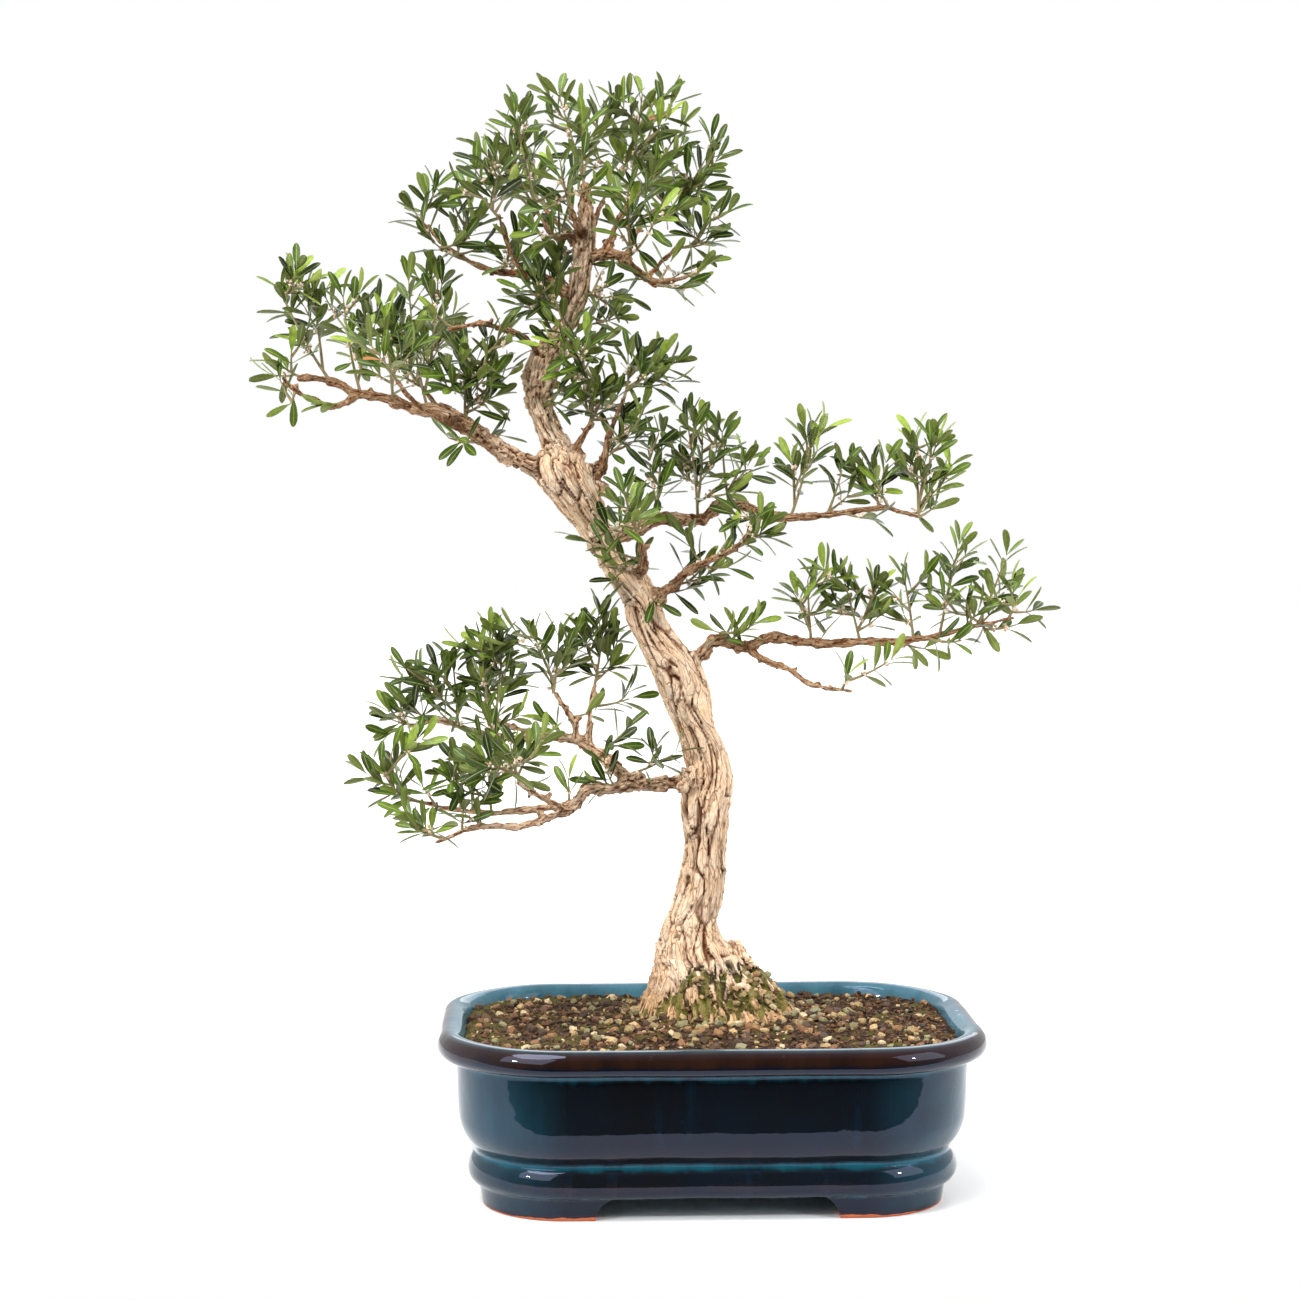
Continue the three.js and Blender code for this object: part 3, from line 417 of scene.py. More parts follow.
def set_places(piece, spots):
    piece.data.vertices.foreach_set("co", spots.astype(np.float32).ravel())
    piece.data.update()


def vertex_normals(piece):
    normals = np.empty(len(piece.data.vertices) * 3, np.float32)
    piece.data.vertex_normals.foreach_get("vector", normals)
    return normals.reshape(-1, 3).astype(float)


def store(piece, name, values):
    """Keeps one number for each vertex of a piece, for its material to read."""
    layer = piece.data.attributes.new(name, "FLOAT", "POINT")
    layer.data.foreach_set("value", np.asarray(values, np.float32))


def edge_ends(piece):
    ends = np.empty(len(piece.data.edges) * 2, np.int32)
    piece.data.edges.foreach_get("vertices", ends)
    return ends.reshape(-1, 2)


def neighbours_mean(values, ends, count):
    """The mean of each vertex's neighbours' values."""
    total = np.zeros((count,) + values.shape[1:])
    number = np.zeros(count)
    for a, b in ((0, 1), (1, 0)):
        np.add.at(total, ends[:, a], values[ends[:, b]])
        np.add.at(number, ends[:, a], 1)
    number = np.maximum(number, 1)
    return total / (number[:, None] if values.ndim > 1 else number)


def done(piece, slot, *nodes):
    """A finished piece rides on the tree's only body and stands for the nodes that it replaces."""
    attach(piece, "root")
    if nodes:
        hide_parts(*nodes)


# Materials

def feed(socket, value):
    """Gives an input its value: a number, a colour or another node's output."""
    if isinstance(value, bpy.types.NodeSocket):
        socket.id_data.links.new(value, socket)
    else:
        socket.default_value = value


def add(beside, kind, inputs=None, **settings):
    """One more node, in the tree that another node or one of its sockets belongs to."""
    node = beside.id_data.nodes.new("ShaderNode" + kind)
    for key, value in settings.items():
        setattr(node, key, value)
    for key, value in (inputs or {}).items():
        feed(node.inputs[key], value)
    return node


def paint(surface, **inputs):
    """Gives a shader's inputs their values. Each is named as in Blender, with _ for a space."""
    for key, value in inputs.items():
        feed(surface.inputs[key.replace("_", " ")], value)


def new_finish(name, **inputs):
    """A material with its shader, and the output that tells the place on the object."""
    material = bpy.data.materials.new(name)
    material.use_nodes = True
    surface = material.node_tree.nodes["Principled BSDF"]
    paint(surface, **inputs)
    return material, surface, add(surface, "TexCoord").outputs["Object"]


def rgb(red, green, blue):
    """A colour as it is seen, 0 to 255, as the shader wants it."""
    shares = [((c / 255 + 0.055) / 1.055) ** 2.4 if c > 10 else c / 3294.6 for c in (red, green, blue)]
    return (*shares, 1)


def an_output(*values):
    """The first of some values that is a node's output."""
    return next(value for value in values if isinstance(value, bpy.types.NodeSocket))


def blend(share, first, second):
    """Two colours mixed by a share. Each of the three is a fixed value or a node's output."""
    inputs = {0: share, 6: first, 7: second}
    return add(an_output(share, first, second), "Mix", inputs, data_type="RGBA").outputs[2]


def stretch(value, low, high, to_low=0.0, to_high=1.0):
    """A value between two bounds, spread smoothly over a new span and held at its ends."""
    bounds = {"Value": value, "From Min": low, "From Max": high, "To Min": to_low, "To Max": to_high}
    return add(value, "MapRange", bounds, interpolation_type="SMOOTHSTEP").outputs["Result"]


def clouds(place, scale, detail=3.0, rough=0.5, squash=None):
    """Soft noise, of a scale in patches a metre, stretched along the axes where squash says so."""
    if squash:
        place = add(place, "Mapping", {"Vector": place, "Scale": squash}).outputs["Vector"]
    inputs = {"Vector": place, "Scale": scale, "Detail": detail, "Roughness": rough}
    return add(place, "TexNoise", inputs).outputs["Fac"]


def worked(kind, first, second):
    """Two values worked into one, each a number or a node's output."""
    return add(an_output(first, second), "Math", {0: first, 1: second}, operation=kind).outputs[0]


def times(first, second):
    return worked("MULTIPLY", first, second)


def plus(first, second):
    return worked("ADD", first, second)


def minus(first, second):
    return worked("SUBTRACT", first, second)


def layered(colour, *layers):
    """A colour with others over it, one after another: each a share and its red, green and blue."""
    for share, *shade in layers:
        colour = blend(share, colour, rgb(*shade))
    return colour


def stored(surface, name):
    """The numbers that a piece keeps under a name, as its material reads them."""
    return add(surface, "Attribute", attribute_name=name).outputs["Fac"]


def roughen(surface, height, strength, distance):
    bump = add(surface, "Bump", {"Height": height, "Strength": strength, "Distance": distance})
    paint(surface, Normal=bump.outputs["Normal"])


# Camera, light and floor

def set_camera():
    bpy.ops.object.camera_add()
    camera = bpy.context.object
    camera.name = "photo_camera"
    camera.location = in_frame(EYE)[0]
    ahead = Vector((math.sin(LOOK_RIGHT) * math.cos(LOOK_DOWN), math.cos(LOOK_RIGHT) * math.cos(LOOK_DOWN),
                    -math.sin(LOOK_DOWN)))
    camera.rotation_euler = ahead.to_track_quat("-Z", "Y").to_euler()
    camera.data.sensor_width = LENS_WIDTH
    camera.data.lens = LENS_LENGTH
    camera.data.clip_end = 50
    bpy.context.scene.camera = camera


def add_softbox(name, place, aim, size, power):
    bpy.ops.object.light_add(type="AREA", location=place)
    lamp = bpy.context.object
    lamp.name = name
    lamp.data.shape = "RECTANGLE"
    lamp.data.size, lamp.data.size_y = size
    lamp.data.energy = power
    lamp.rotation_euler = (Vector(aim) - Vector(place)).to_track_quat("-Z", "Y").to_euler()


def set_light():
    add_softbox("softbox_left", (-1.7, -1.9, 2.0), (-0.05, 0, 0.4), (2.2, 2.2), 58)
    add_softbox("softbox_right", (2.0, -1.3, 1.5), (0.0, 0, 0.4), (1.8, 2.0), 34)
    add_softbox("softbox_behind", (0.5, 2.6, 1.6), (0, 0, 0.4), (2.2, 1.4), 20)
    bpy.ops.object.light_add(type="SUN", location=(0, 0, 3), rotation=(0.25, -0.3, 0))
    bpy.context.object.name = "white_ceiling"
    bpy.context.object.data.energy = 2.9
    bpy.context.object.data.angle = math.radians(32)
    add_softbox("flash_left", (-1.75, -1.5, 1.3), (0, 0, 0.3), (0.15, 0.07), 21)
    add_softbox("flash_right", (1.75, -1.5, 1.3), (0, 0, 0.3), (0.15, 0.07), 21)
    room = bpy.data.worlds.new("studio")
    bpy.context.scene.world = room
    room.use_nodes = True
    # The room is white at the sides and behind, and dark before the pot, but the camera sees it white
    ground = room.node_tree.nodes["Background"]
    way = add(ground, "TexCoord").outputs["Generated"]
    depth = add(ground, "SeparateXYZ", {0: way}).outputs["Y"]
    bounds = {"Value": depth, "From Min": -0.75, "From Max": 0.1, "To Min": 0.03, "To Max": 1.0}
    front = add(ground, "MapRange", bounds).outputs["Result"]
    seen = add(ground, "LightPath").outputs["Is Camera Ray"]
    paint(ground, Color=(1, 1, 1, 1), Strength=worked("MAXIMUM", front, seen))
    bpy.context.scene.view_settings.view_transform = "Standard"


def lay_floor():
    bpy.ops.mesh.primitive_plane_add(size=1)
    floor = bpy.context.object
    floor.name = "floor"
    bpy.ops.transform.resize(value=(FLOOR_WIDTH, FLOOR_BACK - FLOOR_FRONT, 1))
    bpy.ops.transform.translate(value=(0, (FLOOR_BACK + FLOOR_FRONT) / 2, 0))
    bpy.ops.object.transform_apply(location=True, rotation=True, scale=True)
    material, surface, place = new_finish("floor_paint", Roughness=0.6)
    shade = stretch(clouds(place, 0.7), 0, 1, 0.93, 0.96)
    tint = add(surface, "CombineColor", {"Red": shade, "Green": shade, "Blue": shade}).outputs[0]
    paint(surface, Base_Color=tint)
    floor.data.materials.append(material)


# The pot

def rounded_off(points, rounds):
    """A row of points with its corners cut off again and again, which leaves a smooth curve."""
    for _ in range(rounds):
        cut = [points[0]]
        for (a, b), (c, d) in zip(points, points[1:]):
            cut += [[a * 0.75 + c * 0.25, b * 0.75 + d * 0.25], [a * 0.25 + c * 0.75, b * 0.25 + d * 0.75]]
        points = cut + [points[-1]]
    return points


def pot_outline():
    """The wall's section, from the inside of the foot over the rim to the floor: [inset, height]."""
    outline = rounded_off(FOOT_WALL, 1)[:-1]
    for wall in (BAND_WALL, BODY_WALL, RIM_WALL, INNER_WALL):
        outline += rounded_off(wall, 1)
    return rounded_off(outline, 1)


def cutter(name, points, depth_along):
    """A solid that is cut out of the pot: a flat outline, pushed through along a direction."""
    tool = start_piece(name, points, [list(range(len(points)))])
    open_piece(tool)
    bpy.ops.mesh.extrude_region_move(TRANSFORM_OT_translate={"value": depth_along})
    close_piece()
    return tool


def arch_points(sole, top):
    """The gap between two feet, seen from the side: its ends lean in and are a little hollow."""
    ends = []
    for step in range(9):
        t = step / 8
        x = (1 - t) ** 2 * sole + 2 * t * (1 - t) * (sole - 2) + t * t * top
        ends.append((x, FOOT_HEIGHT * (2 * t * (1 - t) * 0.75 + t * t)))
    right = [(sole, -5)] + ends
    return right + [(-x, z) for x, z in reversed(right)]


def build_pot():
    outline = pot_outline()
    spots = [(POT_WIDTH / 2 - inset, 0, height) for inset, height in outline]
    edges = [(i, i + 1) for i in range(len(spots) - 1)]
    pot = start_piece("glazed_pot", spots, edges=edges)
    side = POT_DEPTH / 2 - POT_CORNER
    front = POT_WIDTH / 2 - POT_CORNER
    middle = in_frame((front, side, 0))[0]
    open_piece(pot)
    for length, way in ((side, (0, 1, 0)), (front, (-1, 0, 0))):
        if way[0]:
            bpy.ops.mesh.spin(steps=CORNER_STEPS, angle=-math.pi / 2, center=middle, axis=(0, 0, 1))
        count = max(1, round(length / SIDE_STEP))
        stride = [length / count * MM * part for part in way]
        for _ in range(count):
            bpy.ops.mesh.extrude_region_move(TRANSFORM_OT_translate={"value": stride})
    bpy.ops.object.mode_set(mode="OBJECT")
    ground = bpy.data.objects.new("pot_middle", None)
    ground.location = POT_MIDDLE
    bpy.context.scene.collection.objects.link(ground)
    apply_modifier(pot, "MIRROR", use_axis=(True, True, False), merge_threshold=1e-5, mirror_object=ground)
    bpy.data.objects.remove(ground)
    open_piece(pot)
    bpy.ops.mesh.remove_doubles(threshold=1e-5)
    bpy.ops.mesh.fill_holes(sides=0)
    close_piece()
    long_arch = [(x, -POT_DEPTH / 2, z) for x, z in arch_points(ARCH_SOLE["long"], ARCH_TOP["long"])]
    short_arch = [(-POT_WIDTH / 2, x, z) for x, z in arch_points(ARCH_SOLE["short"], ARCH_TOP["short"])]
    tools = [cutter("arch_long", long_arch, (0, POT_DEPTH * MM, 0)),
             cutter("arch_short", short_arch, (POT_WIDTH * MM, 0, 0))]
    for way in (-1, 1):
        place = in_frame((way * DRAIN_OFFSET, 0, FOOT_HEIGHT))[0]
        bpy.ops.mesh.primitive_cylinder_add(vertices=DRAIN_SIDES, radius=DRAIN_RADIUS * MM,
                                            depth=DRAIN_DEPTH * MM, location=place)
        tools.append(bpy.context.object)
    for tool in tools:
        apply_modifier(pot, "BOOLEAN", object=tool, operation="DIFFERENCE", solver="EXACT")
        bpy.data.objects.remove(tool)
    smooth_by_angle(pot, 38)
    return pot


def wave_glaze(pot):
    """The glazed wall is never quite true: a slow swell of a few tenths of a millimetre."""
    spots, normals = vertex_places(pot), vertex_normals(pot)
    swell = np.array([noise.noise(Vector(spot) * 17) * SWELL + noise.noise(Vector(spot) * 60) * SWELL_FINE
                      for spot in spots])
    free = np.clip(spots[:, 2] / (3 * MM), 0, 1)
    set_places(pot, spots + normals * (swell * free * MM)[:, None])


def pot_insets(spots):
    """How far each point lies in from the rim's outline, in millimetres."""
    flat = np.abs(spots[:, :2] - np.array(POT_MIDDLE)[:2]) / MM
    past = flat - np.array([POT_WIDTH / 2 - POT_CORNER, POT_DEPTH / 2 - POT_CORNER])
    outside = np.linalg.norm(np.maximum(past, 0), axis=1)
    return POT_CORNER - outside - np.minimum(past.max(1), 0)


def note_ridges(pot):
    """Where the wall bulges the glaze runs thin, and where it is hollow the glaze pools. The inner side of
    the rim has a glaze of its own. At the corners the glaze is painted a lighter teal, a painted
    reflection of the bright sides of the room, and the feet show less bare clay there."""
    spots = vertex_places(pot)
    heights, bulges = zip(*GLAZE_RIDGES)
    insets = pot_insets(spots)
    inner = np.clip((insets - 4) / 9, 0, 1) * np.clip((spots[:, 2] / MM - 107) / 6, 0, 1)
    across, deep = (np.abs(spots[:, i] - POT_MIDDLE[i]) / MM for i in (0, 1))
    corner = np.clip((across - 105) / 70, 0, 1) * (0.3 + 0.7 * np.clip((deep - 35) / 55, 0, 1))
    store(pot, "bulge", np.interp(spots[:, 2] / MM, heights, bulges))
    store(pot, "inner", inner)
    store(pot, "corner", corner)


def glaze_finish():
    material, surface, place = new_finish("teal_glaze", IOR=1.42, Specular_Tint=(0.56, 0.62, 0.9, 1))
    height = add(surface, "SeparateXYZ", {"Vector": place}).outputs["Z"]
    streaks = clouds(place, 55, 4, 0.6, (1, 1, 0.1))
    patches = clouds(place, 11, 4, 0.6)
    bulge, inner, corner = (stored(surface, name) for name in ("bulge", "inner", "corner"))
    navy = blend(stretch(patches, 0.35, 0.7), rgb(14, 15, 17), rgb(13, 19, 27))
    streaky = blend(stretch(streaks, 0.56, 0.85), navy, rgb(9, 32, 47))
    # Painted reflection: the corners are painted a lighter teal, standing for the bright room that they
    # mirror
    sides = times(corner, stretch(patches, 0.25, 0.65, 0.3, 0.85))
    painted_corner_reflection = blend(streaks, rgb(10, 38, 54), rgb(32, 82, 96))
    teal = blend(sides, streaky, painted_corner_reflection)
    wander = minus(streaks, 0.5)
    uneven_bulge = plus(bulge, wander)
    # Pools of glaze in the hollows, and brown breaks along the edges
    breaks = layered(teal, (stretch(uneven_bulge, -0.3, -0.85, 0, 0.75), 20, 84, 100),
                     (stretch(uneven_bulge, 0.3, 0.75, 0, 0.7), 34, 24, 24))
    rim = stretch(height, 0.108, 0.1105)
    band = stretch(plus(height, times(wander, 0.006)), 0.1135, 0.117)
    rusty = blend(streaks, rgb(12, 7, 5), rgb(48, 27, 18))
    rim_front = blend(band, rgb(10, 16, 26), rusty)
    rimmed = blend(times(rim, 0.9), breaks, rim_front)
    inside = blend(streaks, rgb(30, 66, 84), rgb(86, 134, 150))
    glazed = blend(times(inner, 0.9), rimmed, inside)
    speckle = add(surface, "TexVoronoi", {"Vector": place, "Scale": 260}).outputs["Distance"]
    pits = stretch(speckle, 0.13, 0.07)
    rare = stretch(clouds(place, 45, 2), 0.54, 0.62)
    pitted = times(pits, rare)
    dotted = blend(pitted, glazed, rgb(24, 20, 24))
    # Bare clay shows below an uneven line, a few millimetres up the feet
    uneven = plus(times(clouds(place, 90, 3), 0.0034), 0.0008)
    inner_end = minus(1.15, corner)
    bare = worked("LESS_THAN", height, times(uneven, inner_end))
    clay = blend(clouds(place, 300, 4), rgb(150, 78, 48), rgb(196, 108, 66))
    paint(surface, Base_Color=blend(bare, dotted, clay))
    gloss = stretch(clouds(place, 700, 4), 0.3, 0.8, 0.02, 0.07)
    rough = add(surface, "Mix", {0: bare, 2: gloss, 3: 0.85}, data_type="FLOAT").outputs[0]
    paint(surface, Roughness=rough)
    grain = minus(clouds(place, 120, 2), times(pitted, 2))
    ripple = times(clouds(place, 24, 2), 7)
    roughen(surface, plus(grain, ripple), 0.15, 0.0006)
    return material


def make_pot():
    pot = build_pot()
    wave_glaze(pot)
    note_ridges(pot)
    pot.data.materials.clear()
    pot.data.materials.append(glaze_finish())
    done(pot, "glaze", "pot")


# The wood

RING_STEP = 4.0
TUBE_SIDES = 8
TRUNK_SIDES = 48
# How much further along the bark of each limb starts, so that no two limbs are alike
LINE_GAP = 90
# The wood's tubes and lumps get one skin, made on a grid as fine as this
SKIN_GRID = 1.5
# Knobs of the wood: place in the drawing, depth and radius
KNOBS = [[-52, 302, 10, 6.5], [9, 234, 20, 5.5], [-36, 434, 8, 5.5], [-80, 517, 8, 6], [-88, 530, 8, 5.5],
         [-14, 303, 10, 9], [-96, 541, 6, 5.5], [-118, 530, 4, 8], [-14, 264, 12, 6], [12, 285, 18, 6],
         [-128, 580, 6, 4.5], [-44, 402, 12, 6.5], [-19, 296, 6, 6], [-60, 303, 10, 5.5], [-8, 294, 14, 6]]
# Roots leave the trunk's foot from ROOT_LOW up, over a span of ROOT_SPAN, and end at ROOT_END
ROOTS = 74
ROOT_LOW = 138
ROOT_SPAN = 40
ROOT_END = 112
# Below FOOT_TOP the bark turns into the roots' wood, over a height of FOOT_FADE
FOOT_TOP = 166
FOOT_FADE = 34
# Moss climbs the right of the foot up to MOSS_TOP, and grows all round it up to MOSS_ROUND
MOSS_TOP = 168
MOSS_ROUND = 134
STUBS = 150
STUB_SHARES = (0, 0.35, 0.7, 1)


def smooth_rows(rows, steps):
    """Rows of numbers with smooth rows put in between."""
    rows = np.asarray(rows, float)
    padded = np.vstack([rows[0], rows, rows[-1]])
    t = np.arange(steps)[:, None] / steps
    parts = []
    for a, b, c, d in zip(padded, padded[1:], padded[2:], padded[3:]):
        parts.append(0.5 * (2 * b + (c - a) * t + (2 * a - 5 * b + 4 * c - d) * t ** 2
                            + (3 * b - a - 3 * c + d) * t ** 3))
    return np.vstack(parts + [rows[-1:]])


def evenly(rows, step):
    """The same line with its points a step apart. The first three numbers of a row are its place."""
    lengths = np.linalg.norm(np.diff(rows[:, :3], axis=0), axis=1)
    along = np.concatenate([[0], np.cumsum(lengths)])
    spots = np.linspace(0, along[-1], max(2, round(along[-1] / step) + 1))
    return np.column_stack([np.interp(spots, along, column) for column in rows.T])


def trunk_rows():
    """Middle, half width and half depth of the trunk, from the soil to the leader's tip."""
    rows = []
    for i, (w, left, right, depth) in enumerate(TRUNK):
        before, after = TRUNK[max(i - 1, 0)], TRUNK[min(i + 1, len(TRUNK) - 1)]
        drift = (after[1] + after[2] - before[1] - before[2]) / 2
        lean = math.atan2(drift, after[0] - before[0])
        low, high = placed(left, w, depth), placed(right, w, depth)
        half = (high.x - low.x) / 2 * (1 + LEADER_MORE * held((w - LEADER_START) / 50))
        flat = FLARE_DEPTH if w < FLARE_HEIGHT else math.cos(lean)
        rows.append([*((low + high) / 2), half, half * flat])
    return smooth_rows(rows, 5)


# The middle lines of the trunk and the limbs: place and half widths in each row
LINES = {}


def nearest(parent, u, w):
    """The row of a limb's middle line that the drawing shows nearest to (u, w)."""
    rows = LINES[parent]
    seen = np.array([drawn(Vector(row[:3])) for row in rows])
    return rows[np.argmin(np.hypot(seen[:, 0] - u, seen[:, 1] - w))]


def limb_rows(name):
    """A limb's line with its thickness: knobbly, and stouter where it leaves its parent."""
    parent, path, end_depth, start_width, end_width = LIMBS[name]
    start = nearest(parent, *path[0])[1]
    share = np.linspace(0, 1, len(path))
    points = [placed(u, w, start + (end_depth - start) * t) for (u, w), t in zip(path, share)]
    rows = evenly(smooth_rows(points, 8), RING_STEP)
    draw = draws(name)
    phase = next(draw) * 50
    out = []
    for i, row in enumerate(rows):
        t = i / (len(rows) - 1)
        radius = (start_width + (end_width - start_width) * t) / 2 * 1.16
        radius *= 1.02 + 0.34 * wave(phase, i * 0.45, 0) + 0.2 * wave(phase, i, 9)
        radius += 0.22 * start_width * math.exp(-i * RING_STEP / (0.8 * start_width))
        sway = Vector((wave(phase, i * 0.22, 3), 0, wave(phase, i * 0.22, 7)))
        spot = Vector(row) + sway * 1.6 * min(1, i / 3)
        out.append([*spot, max(radius, 1.0), max(radius, 1.0)])
    return np.array(out)


def across_ways(rows):
    """For each row of a line: the way it runs and two directions across it."""
    along = np.gradient(rows[:, :3], axis=0)
    along /= np.linalg.norm(along, axis=1)[:, None]
    back = np.array([0.0, 1.0, 0.0])
    first = back - along * (along @ back)[:, None]
    first /= np.maximum(np.linalg.norm(first, axis=1), 1e-6)[:, None]
    return along, first, np.cross(along, first)


def tube_mesh(rows, sides, level=False):
    """Points and faces of a closed tube along a line. A level one has its rings lie flat."""
    along, first, second = across_ways(rows)
    if level:
        first, second = np.tile([0.0, 1.0, 0.0], (len(rows), 1)), np.tile([-1.0, 0.0, 0.0], (len(rows), 1))
    angle = np.arange(sides) / sides * 2 * math.pi
    deep = rows[:, 4:5, None] if level else rows[:, 3:4, None]
    ring = (rows[:, None, :3] + deep * np.cos(angle)[None, :, None] * first[:, None]
            + rows[:, 3:4, None] * np.sin(angle)[None, :, None] * second[:, None])
    points = np.vstack([ring.reshape(-1, 3), rows[0, :3] - along[0] * rows[0, 3] * 0.4,
                        rows[-1, :3] + along[-1] * rows[-1, 3] * 0.7])
    faces = []
    low, high = len(points) - 2, len(points) - 1
    for i in range(len(rows) - 1):
        for j in range(sides):
            k = (j + 1) % sides
            faces.append((i * sides + j, i * sides + k, (i + 1) * sides + k, (i + 1) * sides + j))
    last = (len(rows) - 1) * sides
    for j in range(sides):
        k = (j + 1) % sides
        faces += [(low, k, j), (high, last + j, last + k)]
    return points, faces


def ball_mesh(middle, radius):
    """A small lump: an eight-sided ball."""
    x, y, z = middle
    points, faces = [], []
    for i in range(1, 4):
        for j in range(8):
            polar, angle = i * math.pi / 4, j * math.pi / 4
            points.append([x + radius * math.sin(polar) * math.cos(angle),
                           y + radius * math.sin(polar) * math.sin(angle), z + radius * math.cos(polar)])
    points += [[x, y, z + radius], [x, y, z - radius]]
    for i in range(2):
        for j in range(8):
            k = (j + 1) % 8
            faces.append((i * 8 + j, (i + 1) * 8 + j, (i + 1) * 8 + k, i * 8 + k))
    for j in range(8):
        k = (j + 1) % 8
        faces += [(24, j, k), (25, 16 + k, 16 + j)]
    return np.array(points), faces


def root_rows(draw, number):
    """A root: it leaves the trunk's foot a little above the soil and runs down and outwards."""
    angle = (number + 0.8 * next(draw)) / ROOTS * 2 * math.pi
    high = ROOT_LOW + ROOT_SPAN * next(draw) ** 1.4
    foot, top = LINES["trunk"][6], nearest("trunk", 0, high)
    spread = 0.94 + 0.1 * next(draw)
    width = 1.5 + 1.5 * next(draw)
    rows = []
    for i in range(9):
        t = i / 8
        curve = t ** 1.5
        middle = top[:3] * (1 - curve) + foot[:3] * curve
        reach = (top[3] * 0.93 * (1 - curve) + foot[3] * spread * curve,
                 top[4] * 0.93 * (1 - curve) + foot[4] * spread * curve)
        sway = angle + 0.1 * math.sin(5 * t + number)
        height = high + (ROOT_END - high) * t
        if math.cos(angle) > 0.4:
            height += 10 * math.sin(math.pi * t) * math.cos(angle)
        rows.append([middle[0] + reach[0] * math.cos(sway), middle[1] + reach[1] * math.sin(sway), height,
                     width * (0.7 + 0.6 * math.sin(math.pi * min(1, t + 0.25))), 0])
    return evenly(smooth_rows(rows, 2), 5)


def join_meshes(parts):
    """The points and the faces of several meshes as those of one."""
    points, faces, start = [], [], 0
    for spots, sides in parts:
        points.append(np.asarray(spots, float))
        faces += [tuple(i + start for i in side) for side in sides]
        start += len(spots)
    return np.vstack(points), faces


def stub_rows(draw):
    """A dead stub on a limb, where a twig was cut or broke off."""
    names = [name for name in LIMBS if LIMBS[name][3] >= 5]
    rows = LINES[chosen(draw, names)]
    along, first, second = across_ways(rows)
    i = int((0.15 + 0.8 * next(draw)) * (len(rows) - 1))
    angle = next(draw) * 2 * math.pi
    way = first[i] * math.cos(angle) + second[i] * math.sin(angle) + along[i] * (next(draw) - 0.3)
    way /= np.linalg.norm(way)
    length = rows[i, 3] + 0.6 + 5 * next(draw) ** 4
    width = 1.2 + 1.5 * next(draw)
    spots = [rows[i, :3] + way * length * t for t in STUB_SHARES]
    return np.array([[*spot, width * (1.15 - 0.35 * t), 0] for spot, t in zip(spots, STUB_SHARES)])


def bark_form(a, b, along, stout):
    """How deep the furrows between the bark's plates lie, 0 to 1, and the plates' own unevenness."""
    wide, long = 3.2 + 4.8 * stout, 9 + 50 * stout
    near, cells = noise.voronoi(Vector((a / wide + 0.4, b / wide, along / long + 0.37)))
    apart = cells[1] - cells[0]
    upright = math.hypot(apart.x, apart.y) / max(apart.length, 1e-6)
    furrow = max(0.0, 1 - (near[1] - near[0]) / (0.3 - 0.12 * stout)) * upright ** 2
    level = noise.noise(cells[0] * 2.7)
    fine = wave(a / 1.8, b / 1.8, along / 4) + 0.6 * wave(a, b, along / 1.6)
    ridge = wave(a / (5 + 3 * stout), b / (5 + 3 * stout), along / (9 + 28 * stout))
    return furrow, level, fine, ridge


def row_finder(rows):
    """A search tree that finds the row of a line that is nearest to a place."""
    tree = kdtree.KDTree(len(rows))
    for i, row in enumerate(rows):
        tree.insert(row[:3], i)
    tree.balance()
    return tree


def moss_share(spot):
    """How mossy the foot is: high up only at its right, near the soil all round."""
    edge = -23 - 0.8 * max(0, 155 - spot[2])
    right = held((spot[0] - edge) / 10) * held((MOSS_TOP - spot[2]) / 14)
    low = held((MOSS_ROUND - spot[2]) / 12)
    patch = 0.66 + 1.3 * wave(spot[0] / 6, spot[1] / 6, spot[2] / 16)
    return held(max(right, 0.8 * low) * patch)


# The mossy spots of the trunk's foot, each with the way that its surface faces
FOOT_SPOTS = []


